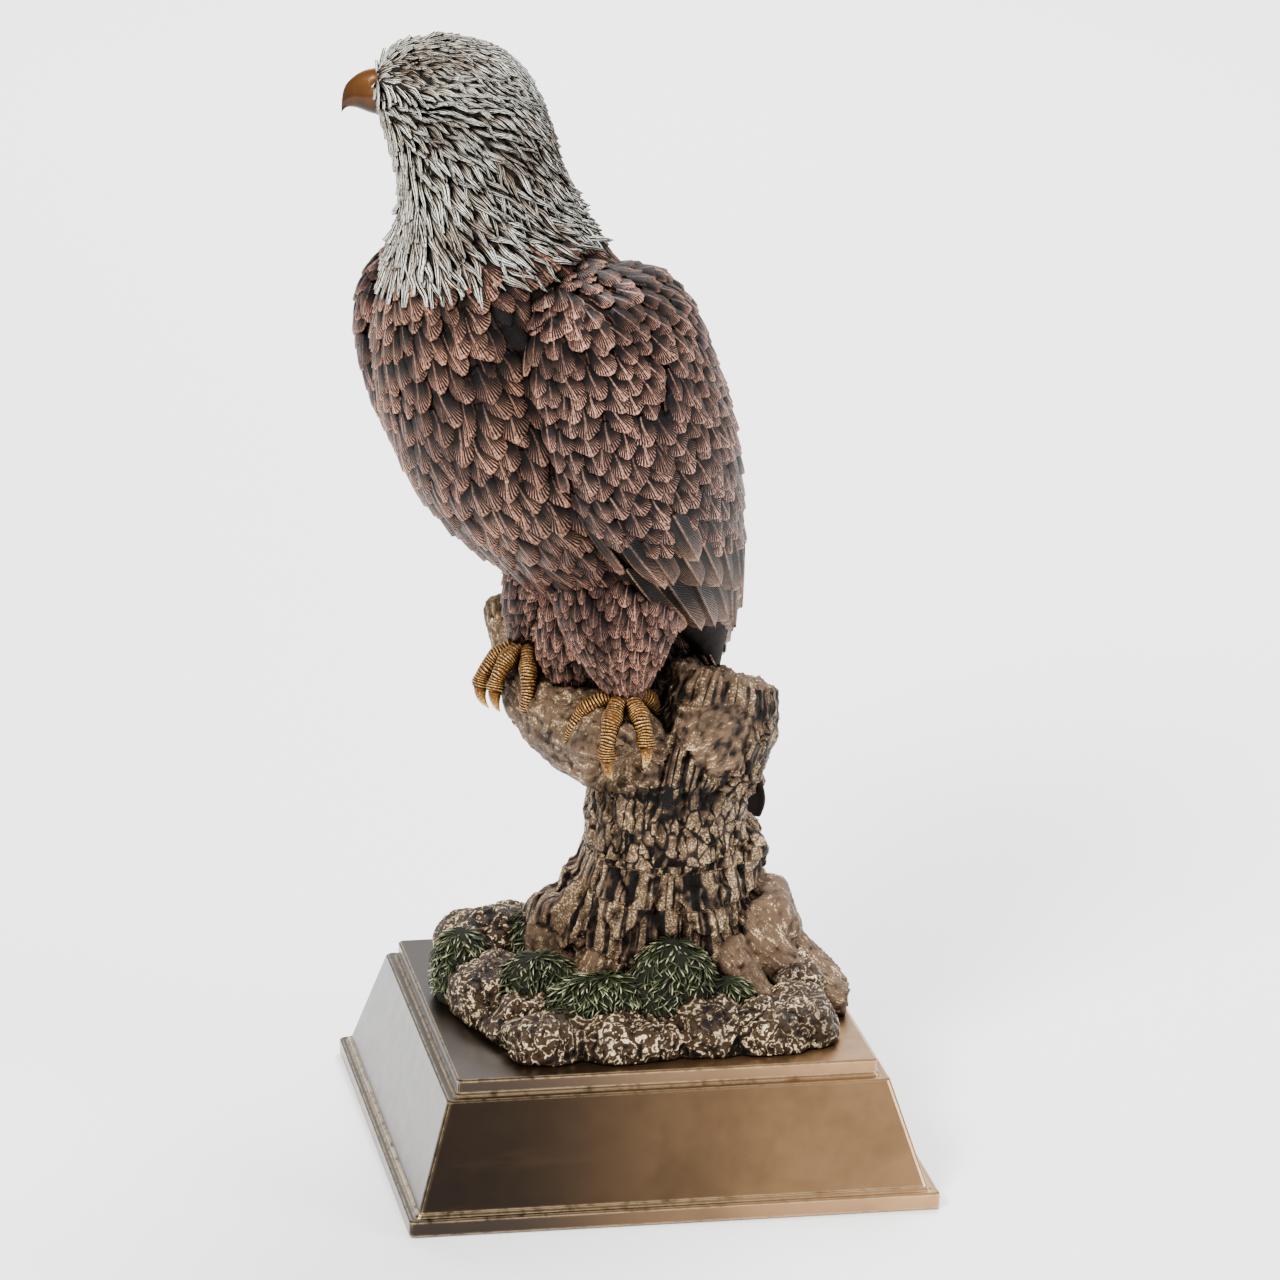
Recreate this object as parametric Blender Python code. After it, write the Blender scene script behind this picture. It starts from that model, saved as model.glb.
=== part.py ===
"""Cast resin eagle perched on a broken stump among rocks, on a stepped square plinth.

Metres, +Z up, origin at the middle of the plinth's underside, the plinth's front towards -Y.
The bird is laid out in its own frame: forward, left and up from the point on the limb midway
between its feet. Each form is a loft through a short table of rings, feathers are raised rows
along the lofts, and one Boolean joins every form of the casting into a single solid.
"""

import math

import bmesh
import bpy
import numpy as np
from mathutils import Matrix, Vector, noise

# Plinth: half widths and heights of the stepped square moulding.
SLAB_HALF = 0.1300
SLAB_HEIGHT = 0.0086
FOOT_LIP_HALF = 0.1268
FOOT_LIP_HEIGHT = 0.0016
TAPER_FOOT_HALF = 0.1248
TAPER_HEAD_HALF = 0.1088
TAPER_HEIGHT = 0.0506
CAP_LIP_HALF = 0.1044
CAP_LIP_HEIGHT = 0.0018
CAP_HALF = 0.1032
CAP_HEIGHT = 0.0066
MOULDING_EDGE = 0.0009
CORNER_RADIUS = 0.0022
PLINTH_HEIGHT = SLAB_HEIGHT + FOOT_LIP_HEIGHT + TAPER_HEIGHT + CAP_LIP_HEIGHT + CAP_HEIGHT

# The casting stands on the plinth with this much air between the two solids.
SEAT_GAP = 0.0003
SEAT = PLINTH_HEIGHT + SEAT_GAP

# Where the bird stands: the limb's top between the feet, and the way the bird faces.
PERCH_HEIGHT = 0.166
PERCH = Vector((-0.0373, 0.0017, PLINTH_HEIGHT + PERCH_HEIGHT))
BIRD_HEADING = math.radians(209.7)
HEAD_YAW = -50.0

# Relief of the carving.
FEATHER_LIFT = 0.0024
HACKLE_LIFT = 0.0018
BARK_DEPTH = 0.0040
ROCK_ROUGHNESS = 0.16

# The forms are fused on a grid of this grain, then thinned to this share of its faces.
FUSE_GRAIN = 0.0014
FACE_SHARE = 0.0182

# Sizes of the smaller forms.
TOE_RADIUS = 0.0042
# Ankles in the bird's frame, and each toe's direction in degrees from ahead and its reach.
LEFT_ANKLE = (-0.0035, 0.0455, 0.0030)
LEFT_TOES = ((-35, 1.00), (31, 1.00), (76, 0.85), (188, 0.90))
RIGHT_ANKLE = (-0.0040, -0.0285, 0.0120)
RIGHT_TOES = ((-24, 0.88), (8, 0.85), (50, 1.05), (176, 0.90))
TALON_LENGTH = 0.0150
BEAK_LENGTH = 0.0250
BEAK_HEIGHT = 0.0230
BEAK_WIDTH = 0.0150
EYE_RADIUS = 0.0038
TAIL_THICKNESS = 0.0070
WING_THICKNESS = 0.0180

# Forward, left, up, yaw, pitch, front depth, back depth, half width: crown down to tail root.
# Yaw and pitch, in degrees, turn the ring's front.
BODY_RINGS = (
    (0.062, -0.015, 0.3225, HEAD_YAW, 0, 0.012, 0.015, 0.010),
    (0.062, -0.014, 0.3170, HEAD_YAW, 0, 0.025, 0.029, 0.021),
    (0.061, -0.013, 0.3060, HEAD_YAW, 0, 0.032, 0.037, 0.0280),
    (0.060, -0.012, 0.2920, HEAD_YAW, 0, 0.033, 0.043, 0.031),
    (0.060, -0.010, 0.2770, HEAD_YAW, 0, 0.028, 0.046, 0.033),
    (0.059, -0.007, 0.2600, -46, -2, 0.025, 0.048, 0.037),
    (0.057, -0.004, 0.2440, -36, -6, 0.029, 0.050, 0.042),
    (0.051, -0.002, 0.2240, -20, -14, 0.042, 0.052, 0.051),
    (0.041, 0.0, 0.2010, -6, -20, 0.058, 0.055, 0.062),
    (0.026, 0.0, 0.1720, 0, -25, 0.069, 0.060, 0.072),
    (0.010, 0.0, 0.1380, 0, -27, 0.070, 0.060, 0.075),
    (-0.008, 0.0, 0.1050, 0, -28, 0.061, 0.054, 0.070),
    (-0.028, 0.0, 0.0750, 0, -28, 0.048, 0.044, 0.060),
    (-0.042, 0.0, 0.0480, 0, -28, 0.038, 0.034, 0.045),
    (-0.056, 0.0, 0.0240, 0, -28, 0.024, 0.022, 0.030),
)
# Forward, up, pitch, outer depth, outer half width, front and back azimuth, thickness share.
WING_RINGS = (
    (0.038, 0.2160, -20, 0.050, 0.071, 58, 112, 0.55),
    (0.036, 0.2050, -20, 0.063, 0.087, 50, 136, 0.95),
    (0.028, 0.1820, -23, 0.073, 0.097, 47, 155, 1.00),
    (0.015, 0.1500, -26, 0.075, 0.099, 46, 165, 1.00),
    (-0.002, 0.1180, -27, 0.073, 0.094, 48, 170, 0.95),
    (-0.020, 0.0880, -28, 0.065, 0.082, 53, 173, 0.80),
    (-0.037, 0.0600, -28, 0.055, 0.067, 60, 175, 0.65),
    (-0.053, 0.0350, -28, 0.044, 0.050, 70, 176, 0.50),
    (-0.069, 0.0100, -28, 0.030, 0.034, 82, 176, 0.40),
    (-0.082, -0.0130, -28, 0.017, 0.018, 98, 172, 0.30),
)
# Forward, left, up, depth and half width of a left leg's feathered thigh, hip to ankle.
LEG_RINGS = (
    (-0.034, 0.016, 0.105, 0.036, 0.032),
    (-0.024, 0.017, 0.075, 0.037, 0.033),
    (-0.012, 0.021, 0.046, 0.033, 0.030),
    (-0.005, 0.029, 0.024, 0.024, 0.0225),
    (0.001, 0.040, 0.004, 0.0090, 0.0090),
)
# The same of the soft belly feathers that hang between the thighs.
VENT_RINGS = (
    (-0.030, 0.000, 0.072, 0.034, 0.034),
    (-0.020, 0.001, 0.044, 0.028, 0.028),
    (-0.013, 0.002, 0.018, 0.022, 0.022),
    (-0.011, 0.002, -0.004, 0.013, 0.013),
)
# Forward and up of the tail's middle, and its half width, root to tip.
TAIL_RINGS = (
    (-0.050, 0.046, 0.024),
    (-0.072, 0.004, 0.028),
    (-0.092, -0.038, 0.031),
    (-0.106, -0.070, 0.032),
    (-0.114, -0.088, 0.020),
)
# X, Y, height above the plinth and radius along each piece of timber.
TRUNK_LINE = (
    (0.014, 0.004, -0.010, 0.062),
    (0.014, 0.004, 0.014, 0.057),
    (0.014, 0.003, 0.040, 0.052),
    (0.015, 0.001, 0.060, 0.046),
    (0.016, 0.000, 0.080, 0.0415),
    (0.016, -0.002, 0.104, 0.040),
    (0.020, -0.004, 0.126, 0.040),
    (0.027, -0.006, 0.146, 0.034),
)
STUB_LINE = (
    (0.014, -0.006, 0.104, 0.027),
    (0.026, -0.010, 0.124, 0.032),
    (0.034, -0.011, 0.142, 0.034),
    (0.038, -0.010, 0.158, 0.033),
    (0.042, -0.008, 0.170, 0.029),
)
LIMB_LINE = (
    (-0.0105, -0.0440, 0.1405, 0.0190),
    (-0.0130, -0.0400, 0.1425, 0.0230),
    (-0.0240, -0.0200, 0.1430, 0.0230),
    (-0.0340, 0.0020, 0.1450, 0.0215),
    (-0.0430, 0.0240, 0.1520, 0.0185),
    (-0.0470, 0.0430, 0.1630, 0.0155),
    (-0.0490, 0.0590, 0.1750, 0.0150),
    (-0.0512, 0.0710, 0.1865, 0.0140),
)
# Azimuth in degrees, reach and thickness of each root, and how far it turns sideways.
ROOTS = (
    (188, 0.078, 0.019, 0.3),
    (216, 0.074, 0.018, -0.1),
    (238, 0.064, 0.014, 0.2),
    (299, 0.082, 0.0135, 0.15),
    (326, 0.090, 0.017, 0.15),
    (352, 0.084, 0.020, -0.2),
    (40, 0.074, 0.018, 0.3),
    (95, 0.072, 0.017, -0.3),
    (140, 0.074, 0.018, 0.2),
)
# X, Y, height and radius of the burrs on the trunk.
BURRS = (
    (-0.032, 0.006, 0.036, 0.022),
    (-0.019, 0.002, 0.053, 0.019),
    (0.042, -0.004, 0.074, 0.023),
    (0.060, -0.008, 0.040, 0.022),
    (0.052, 0.016, 0.052, 0.018),
)
# Azimuth in degrees, height of the top edge, width, length and stand-off of each bark flap.
FLAPS = (
    (236, 0.082, 0.034, 0.036, 0.0045),
    (286, 0.072, 0.026, 0.026, 0.0050),
    (204, 0.060, 0.024, 0.026, 0.0040),
)
# X, Y, half sizes along X, Y and Z, and turn in degrees of each rock.
ROCKS = (
    (-0.064, 0.042, 0.027, 0.028, 0.031, 20),
    (-0.068, -0.012, 0.025, 0.028, 0.022, 10),
    (-0.058, -0.048, 0.018, 0.015, 0.016, -20),
    (-0.054, -0.074, 0.022, 0.017, 0.0135, 10),
    (-0.014, -0.078, 0.026, 0.018, 0.0130, 4),
    (0.024, -0.074, 0.019, 0.018, 0.0195, 12),
    (0.054, -0.074, 0.021, 0.019, 0.0165, -10),
    (0.072, -0.062, 0.016, 0.025, 0.0170, 5),
    (0.074, -0.030, 0.016, 0.024, 0.024, 5),
    (0.068, 0.006, 0.019, 0.026, 0.026, 0),
    (0.062, 0.048, 0.022, 0.022, 0.026, 25),
    (0.028, 0.068, 0.028, 0.020, 0.026, -10),
    (-0.016, 0.070, 0.028, 0.019, 0.024, 8),
    (-0.050, 0.072, 0.022, 0.015, 0.019, -15),
)
# X, Y, half sizes and height of the mossy cushions between the rocks.
MOSSES = (
    (-0.052, -0.030, 0.021, 0.017, 0.030),
    (-0.024, -0.056, 0.029, 0.018, 0.027),
    (0.010, -0.056, 0.021, 0.020, 0.043),
    (0.036, -0.058, 0.016, 0.011, 0.023),
    (-0.083, 0.016, 0.014, 0.018, 0.028),
    (-0.040, 0.024, 0.020, 0.024, 0.036),
    (0.048, 0.044, 0.022, 0.022, 0.030),
)
MAT_HALF = 0.086
MAT_HEIGHT = 0.014


def start_clean():
    """Clears whatever the scene opens with."""
    for thing in list(bpy.data.objects):
        bpy.data.objects.remove(thing, do_unlink=True)


def finish(name, colour, roughness, metallic):
    """A Principled material."""
    made = bpy.data.materials.new(name)
    made.use_nodes = True
    shader = made.node_tree.nodes["Principled BSDF"]
    shader.inputs["Base Color"].default_value = (*colour, 1.0)
    shader.inputs["Roughness"].default_value = roughness
    shader.inputs["Metallic"].default_value = metallic
    return made


def solid(name, points, faces):
    """A mesh object from points and faces, with its faces pointing out."""
    mesh = bpy.data.meshes.new(name)
    mesh.from_pydata([tuple(p) for p in points], [], faces)
    made = bpy.data.objects.new(name, mesh)
    bpy.context.scene.collection.objects.link(made)
    work = bmesh.new()
    work.from_mesh(mesh)
    bmesh.ops.recalc_face_normals(work, faces=work.faces)
    work.to_mesh(mesh)
    work.free()
    return made


def skin(name, rings):
    """A closed solid through rings of equal length, its ends filled by a fan on their middles."""
    count = len(rings[0])
    points = [p for ring in rings for p in ring]
    faces = []
    for i in range(len(rings) - 1):
        for j in range(count):
            k = (j + 1) % count
            faces.append((i * count + j, i * count + k, (i + 1) * count + k, (i + 1) * count + j))
    for first in (0, (len(rings) - 1) * count):
        points.append(sum((Vector(p) for p in points[first:first + count]), Vector()) / count)
        middle = len(points) - 1
        faces += [(first + j, first + (j + 1) % count, middle) for j in range(count)]
    return solid(name, points, faces)


def between(table, place):
    """A table's row at a place between its rows, along a smooth curve through them."""
    rows = np.asarray(table, float)
    place = min(max(place, 0.0), len(rows) - 1.0)
    i = min(int(place), len(rows) - 2)
    t = place - i
    before = rows[max(i - 1, 0)]
    after = rows[min(i + 2, len(rows) - 1)]
    a, b = rows[i], rows[i + 1]
    slope_a, slope_b = (b - before) / 2, (after - a) / 2
    return (
        a * (2 * t**3 - 3 * t**2 + 1)
        + slope_a * (t**3 - 2 * t**2 + t)
        + b * (3 * t**2 - 2 * t**3)
        + slope_b * (t**3 - t**2)
    )


def of_bird(forward, left, up):
    """A point of the bird's own frame, in the part's frame."""
    turned = Matrix.Rotation(BIRD_HEADING, 3, "Z") @ Vector((forward, left, up))
    return PERCH + turned


def ring_axes(yaw, pitch):
    """A ring's front and left directions in the bird's frame, from its yaw and pitch in degrees."""
    a, b = math.radians(yaw), math.radians(pitch)
    front = Vector((math.cos(a) * math.cos(b), math.sin(a) * math.cos(b), math.sin(b)))
    return front, Vector((-math.sin(a), math.cos(a), 0.0))


def plinth():
    """The square plinth: a slab, a tapered block and a cap, each edge slightly rounded."""
    z_slab = SLAB_HEIGHT
    z_lip = z_slab + FOOT_LIP_HEIGHT
    z_taper = z_lip + TAPER_HEIGHT
    z_cap_lip = z_taper + CAP_LIP_HEIGHT
    edge = MOULDING_EDGE
    profile = (
        (SLAB_HALF - edge, 0.0),
        (SLAB_HALF, edge),
        (SLAB_HALF, z_slab - edge),
        (SLAB_HALF - edge, z_slab),
        (FOOT_LIP_HALF, z_slab),
        (FOOT_LIP_HALF - edge, z_lip),
        (TAPER_FOOT_HALF, z_lip),
        (TAPER_HEAD_HALF, z_taper - edge),
        (TAPER_HEAD_HALF - edge, z_taper),
        (CAP_LIP_HALF, z_taper),
        (CAP_LIP_HALF, z_cap_lip - edge),
        (CAP_HALF, z_cap_lip),
        (CAP_HALF, PLINTH_HEIGHT - edge),
        (CAP_HALF - edge, PLINTH_HEIGHT),
    )
    corner_steps = 4
    rings = []
    for half, z in profile:
        ring = []
        for corner in range(4):
            middle = math.radians(45 + 90 * corner)
            inset = half - CORNER_RADIUS
            centre = Vector((math.copysign(inset, math.cos(middle)), math.copysign(inset, math.sin(middle))))
            for step in range(corner_steps):
                a = math.radians(90 * corner + 90 * step / (corner_steps - 1))
                ring.append((centre.x + CORNER_RADIUS * math.cos(a), centre.y + CORNER_RADIUS * math.sin(a), z))
        rings.append(ring)
    return skin("plinth", rings)


def feathered_body():
    """Head, neck and trunk as one loft whose rows of feathers overlap like roof tiles."""
    feathers, rows = 16, 20
    columns = 2 * feathers
    last = len(BODY_RINGS) - 1
    top_row = 1.2

    def place(along, column, lift):
        row = between(BODY_RINGS, along)
        front, left = ring_axes(row[3], row[4])
        a = 2 * math.pi * column / columns
        depth = row[5] if math.cos(a) > 0 else row[6]
        out = front * (math.cos(a) * (depth + lift)) + left * (math.sin(a) * (row[7] + lift))
        return of_bird(row[0] + out.x, row[1] + out.y, row[2] + out.z)

    rings = [[place(0.0, c, 0.0) for c in range(columns)], [place(0.6, c, 0.0) for c in range(columns)]]
    for i in range(rows):
        along = top_row + (last - top_row - 0.35) * i / (rows - 1)
        reach = 0.42 * (last - top_row) / rows
        lift = HACKLE_LIFT if along < 7 else FEATHER_LIFT
        tips = [reach if (c + i) % 2 else -reach for c in range(columns)]
        rings.append([place(along + tips[c], c, lift * (1.0 if tips[c] > 0 else 0.35)) for c in range(columns)])
        rings.append([place(along + tips[c] + 0.03, c, 0.0) for c in range(columns)])
    rings.append([place(last, c, -0.002) for c in range(columns)])
    return skin("body", rings)


def wing(side):
    """A folded wing: a curved shell round the flank, scalloped above and long-feathered below.

    side is 1 for the left wing and -1 for the right.
    """
    across, inner = 20, 3
    last = len(WING_RINGS) - 1
    quills_from = 4.9
    scallop_rows = 8

    def place(along, chord, lift, outer=True):
        forward, up, pitch, depth, half, front_az, back_az, share = between(WING_RINGS, along)
        front, left = ring_axes(0.0, pitch)
        a = math.radians(front_az + (back_az - front_az) * (chord + 1) / 2)
        rounding = (1 - min(abs(chord), 1.0) ** 3) ** (1 / 3)
        inset = WING_THICKNESS * share
        drop = inset * (1 - rounding) if outer else inset
        out = front * (math.cos(a) * (depth - drop + lift)) + left * (math.sin(a) * (half - drop + lift))
        return of_bird(forward + out.x, side * out.y, up + out.z)

    def ring(along, lifts, slide):
        outer = [
            place(along + slide[j], 2 * j / across - 1, lifts[j] if 0 < j < across else 0.0)
            for j in range(across + 1)
        ]
        back = [place(along, 1 - 2 * (j + 1) / (inner + 1), 0.0, False) for j in range(inner)]
        return outer + back

    flat, still = [0.0] * (across + 1), [0.0] * (across + 1)
    rings = [ring(0.0, flat, still)]
    for i in range(scallop_rows):
        along = 0.42 + (quills_from - 0.62) * i / (scallop_rows - 1)
        reach = 0.36 * quills_from / scallop_rows
        slide, lifts = [], []
        for j in range(across + 1):
            phase = ((j + 2 * (i % 2)) % 4) / 4
            tip = phase < 0.5
            slide.append((reach if tip else -reach) * (0.0 if j in (0, across) else 1.0))
            lifts.append(FEATHER_LIFT if tip else FEATHER_LIFT * 0.3)
        rings.append(ring(along, lifts, slide))
        rings.append(ring(along + 0.035, flat, slide))
    steps = 5
    for i in range(steps):
        along = quills_from + 0.1 + (last - quills_from - 0.1) * i / (steps - 1)
        lifts = [FEATHER_LIFT * ((1.3 * (j % 5) / 4) if i < steps - 1 else 0.2) for j in range(across + 1)]
        rings.append(ring(along, lifts, still))
    return skin("wing", rings)


def tuft(name, table, side, shift):
    """A feathered thigh or the belly between them, along its rings and set over by the shift."""
    feathers, rows = 6, 5
    columns = 2 * feathers
    last = len(table) - 1

    def place(along, column, lift):
        forward, left, up, depth, half = between(table, along)
        a = 2 * math.pi * column / columns
        return of_bird(
            forward + shift[0] + math.cos(a) * (depth + lift),
            side * (left + math.sin(a) * (half + lift)) + shift[1],
            up + shift[2],
        )

    rings = [[place(0.0, c, 0.0) for c in range(columns)]]
    for i in range(rows):
        along = 0.4 + (last - 0.75) * i / (rows - 1)
        tips = [0.2 if (c + i) % 2 else -0.2 for c in range(columns)]
        rings.append([place(along + tips[c], c, FEATHER_LIFT * (0.9 if tips[c] > 0 else 0.3)) for c in range(columns)])
        rings.append([place(along + tips[c] + 0.04, c, 0.0) for c in range(columns)])
    rings.append([place(last, c, -0.001) for c in range(columns)])
    return skin(name, rings)


def tail():
    """The closed tail: a thick fan of long feathers, stepped across its width."""
    feathers = 7
    rings = []
    stations = np.linspace(0, len(TAIL_RINGS) - 1, 9)
    for place in stations:
        forward, up, half = between(TAIL_RINGS, place)
        ahead = between(TAIL_RINGS, place + 0.2)
        behind = between(TAIL_RINGS, place - 0.2)
        along = Vector((ahead[0] - behind[0], 0, ahead[1] - behind[1])).normalized()
        back = Vector((along.z, 0, -along.x))
        ring = []
        for side, order in ((1, range(2 * feathers)), (-1, reversed(range(2 * feathers)))):
            for j in order:
                across = 2 * j / (2 * feathers - 1) - 1
                ridge = 0.0012 * (j % 2)
                swell = TAIL_THICKNESS / 2 * (1.0 - 0.5 * across**2) + ridge
                off = back * (side * swell)
                ring.append(of_bird(forward + off.x, across * half, up + off.z))
        rings.append(ring)
    return skin("tail", rings)


def tube(name, line, sides, squash=1.0):
    """A tube along a line of (point, radius), its rings carried along without twisting."""
    rings = []
    aside = None
    for i, (point, radius) in enumerate(line):
        ahead = line[min(i + 1, len(line) - 1)][0]
        behind = line[max(i - 1, 0)][0]
        along = (ahead - behind).normalized()
        if aside is None:
            aside = along.cross(Vector((0, 0, 1)))
            aside = aside if aside.length > 0.1 else along.cross(Vector((1, 0, 0)))
        aside = (aside - along * aside.dot(along)).normalized()
        over = aside.cross(along)
        rings.append([
            point + aside * (radius * math.cos(2 * math.pi * j / sides))
            + over * (radius * squash * math.sin(2 * math.pi * j / sides))
            for j in range(sides)
        ])
    return skin(name, rings)


def foot(ankle, splay):
    """Three front toes and a hind toe that grip the limb, each with its talon."""
    ankle = Vector(ankle)
    limb_radius = 0.0225
    made = []
    shank = [
        (of_bird(*(ankle + Vector((0, 0, rise)))), TOE_RADIUS * share)
        for rise, share in ((0.016, 1.55), (0.0, 1.75), (-0.006, 1.5))
    ]
    made.append(tube("shank", shank, 8))
    for angle, reach in splay:
        turn = math.radians(angle)
        way = Vector((math.cos(turn), math.sin(turn), 0))
        line = []
        joints = 6
        for j in range(joints):
            bend = math.radians(95) * j / (joints - 1) * reach
            out = way * (limb_radius * math.sin(bend) * 1.12)
            drop = Vector((0, 0, -limb_radius * (1 - math.cos(bend))))
            knuckle = 1.14 if j in (2, 5) else 0.94
            line.append((of_bird(*(ankle + out + drop)), TOE_RADIUS * knuckle * (1.12 - 0.05 * j)))
        made.append(tube("toe", line, 7, 0.92))
        claw = []
        bend = math.radians(95) * reach
        point = ankle + way * (limb_radius * math.sin(bend) * 1.12) - Vector((0, 0, limb_radius * (1 - math.cos(bend))))
        for j in range(5):
            claw.append((of_bird(*point), TOE_RADIUS * (0.80 - 0.165 * j)))
            turn_in = bend + math.radians(14) * j
            point = point + (way * math.cos(turn_in) - Vector((0, 0, math.sin(turn_in)))) * (TALON_LENGTH * reach / 4)
        made.append(tube("talon", claw, 5))
    return made


def head_details():
    """The hooked beak, its lower half, the brows and the eyes."""
    row = between(BODY_RINGS, 2.75)
    centre = Vector((row[0], row[1], row[2]))
    front, left = ring_axes(HEAD_YAW, 0)
    base = centre + front * (row[5] - 0.006)
    above = Vector((0, 0, 1))
    made = []
    upper = []
    for share, drop, tall, wide in (
        (-0.20, 0.00, 1.00, 0.95),
        (0.10, 0.01, 1.02, 1.00),
        (0.31, 0.00, 1.00, 0.93),
        (0.55, 0.00, 0.86, 0.82),
        (0.73, -0.02, 0.70, 0.66),
        (0.88, -0.10, 0.56, 0.48),
        (0.96, -0.22, 0.46, 0.36),
        (0.99, -0.42, 0.22, 0.18),
    ):
        middle = base + front * (share * BEAK_LENGTH) + above * (drop * BEAK_HEIGHT + 0.0022)
        upper.append([
            of_bird(*(
                middle
                + left * (math.sin(a) * BEAK_WIDTH / 2 * wide)
                + above * (math.cos(a) * BEAK_HEIGHT / 2 * tall)
            ))
            for a in [2 * math.pi * j / 10 for j in range(10)]
        ])
    made.append(skin("beak", upper))
    jaw = [
        (of_bird(*(base + front * (share * BEAK_LENGTH) - above * (drop * BEAK_HEIGHT))), 0.0045 * wide)
        for share, drop, wide in ((-0.2, 0.42, 1.0), (0.15, 0.40, 1.0), (0.42, 0.30, 0.8), (0.60, 0.22, 0.35))
    ]
    made.append(tube("lower_beak", jaw, 8, 0.8))
    for side in (1, -1):
        brow = [
            (of_bird(*(centre + front * ahead + left * (side * out) + above * rise)), thick)
            for ahead, out, rise, thick in (
                (0.031, 0.0110, 0.0085, 0.0030), (0.022, 0.0200, 0.0100, 0.0048), (0.008, 0.0265, 0.0085, 0.0030)
            )
        ]
        made.append(tube("brow", brow, 6))
        eye = bmesh.new()
        bmesh.ops.create_icosphere(eye, subdivisions=2, radius=EYE_RADIUS)
        spot = of_bird(*(centre + front * 0.0205 + left * (side * 0.0215) + above * 0.0045))
        bmesh.ops.translate(eye, verts=eye.verts, vec=spot)
        mesh = bpy.data.meshes.new("eye")
        eye.to_mesh(mesh)
        eye.free()
        ball = bpy.data.objects.new("eye", mesh)
        bpy.context.scene.collection.objects.link(ball)
        made.append(ball)
    return made


def timber(name, table, sides, steps, ragged=0.0):
    """A length of bark-covered wood: furrows down it, and a broken end where ragged is set."""
    points = [(Vector((x, y, SEAT + z)), r) for x, y, z, r in (between(table, p) for p in np.linspace(0, len(table) - 1, steps))]
    rings = []
    for i, (point, radius) in enumerate(points):
        ahead, behind = points[min(i + 1, steps - 1)][0], points[max(i - 1, 0)][0]
        along = (ahead - behind).normalized()
        aside = along.orthogonal().normalized() if abs(along.z) < 0.9 else Vector((1, 0, 0))
        over = along.cross(aside).normalized()
        aside = over.cross(along)
        ring = []
        for j in range(sides):
            a = 2 * math.pi * j / sides
            way = aside * math.cos(a) + over * math.sin(a)
            rough = noise.noise(way * 2.3 + point * 22)
            furrow = BARK_DEPTH * (0.55 * (-1 if (j + (i // 3)) % 3 == 0 else 0.4) + 0.9 * rough)
            jag = ragged * (0.5 + noise.noise(way * 3.1 + Vector((7, 3, 1)))) if i in (0, steps - 1) else 0.0
            end = -1 if i == 0 else 1
            ring.append(point + way * (radius + furrow) + along * (jag * end))
        rings.append(ring)
    return skin(name, rings)


def root(azimuth, reach, thickness, turn):
    """A root that leaves the trunk, arches over and goes into the ground."""
    line = []
    for j in range(7):
        share = j / 6
        a = math.radians(azimuth) + turn * share**2
        out = 0.022 + (reach - 0.022) * share
        high = 0.046 * (1 - share) ** 1.4 + 0.006
        line.append((Vector((0.020 + math.cos(a) * out, 0.002 + math.sin(a) * out, SEAT + high)), thickness * (1.15 - 0.62 * share)))
    return tube("root", line, 7, 0.9)


def flap(azimuth, top, width, length, stand):
    """A hanging shield of bark, pointed below, that stands off the trunk."""
    heights = [row[2] for row in TRUNK_LINE]
    rings = []
    for share in np.linspace(0, 1, 5):
        z = top - length * share
        x, y, _, radius = between(TRUNK_LINE, np.interp(z, heights, range(len(heights))))
        half = width / 2 * (1 - share**2.2) + 0.0008
        outer, inner = radius + stand * (0.6 + 0.7 * share), radius - 0.005 + stand * 0.3 * share
        ring = []
        for reach, order in ((outer, (-1, 0, 1)), (inner, (1, 0, -1))):
            for step in order:
                a = math.radians(azimuth) + step * half / radius
                ring.append((x + math.cos(a) * reach, y + math.sin(a) * reach, SEAT + z))
        rings.append(ring)
    return skin("flap", rings)


def lump(name, x, y, half_x, half_y, half_z, turn, base, seed):
    """A rock or a cushion of moss: a ball made uneven, its middle at the seat's height or above."""
    work = bmesh.new()
    bmesh.ops.create_icosphere(work, subdivisions=3, radius=1.0)
    for v in work.verts:
        way = v.co.normalized()
        uneven = 1 + ROCK_ROUGHNESS * noise.noise(way * 1.7 + Vector((seed, 0, 0)))
        boxy = 1 / max(abs(way.x) ** 4 + abs(way.y) ** 4 + abs(way.z) ** 4, 0.2) ** 0.12
        v.co = way * uneven * boxy
    bmesh.ops.scale(work, verts=work.verts, vec=(half_x, half_y, half_z))
    bmesh.ops.rotate(work, verts=work.verts, cent=(0, 0, 0), matrix=Matrix.Rotation(math.radians(turn), 3, "Z"))
    bmesh.ops.translate(work, verts=work.verts, vec=(x, y, SEAT + base))
    mesh = bpy.data.meshes.new(name)
    work.to_mesh(mesh)
    work.free()
    made = bpy.data.objects.new(name, mesh)
    bpy.context.scene.collection.objects.link(made)
    thin = made.modifiers.new("fewer_faces", "DECIMATE")
    thin.ratio = 0.28
    return made


def ground_mat():
    """The low rounded mat of earth that the rocks and roots stand in."""
    sides = 28
    rings = []
    for share, z in ((0.96, -0.004), (1.0, 0.45 * MAT_HEIGHT), (0.95, 0.85 * MAT_HEIGHT), (0.80, MAT_HEIGHT)):
        ring = []
        for j in range(sides):
            a = 2 * math.pi * j / sides
            squareness = 1 / (abs(math.cos(a)) ** 4 + abs(math.sin(a)) ** 4) ** 0.25
            uneven = 1 + 0.035 * noise.noise(Vector((math.cos(a) * 2, math.sin(a) * 2, 4)))
            reach = MAT_HALF * share * squareness * uneven
            ring.append((reach * math.cos(a), reach * math.sin(a), SEAT + z))
        rings.append(ring)
    return skin("mat", rings)


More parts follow.
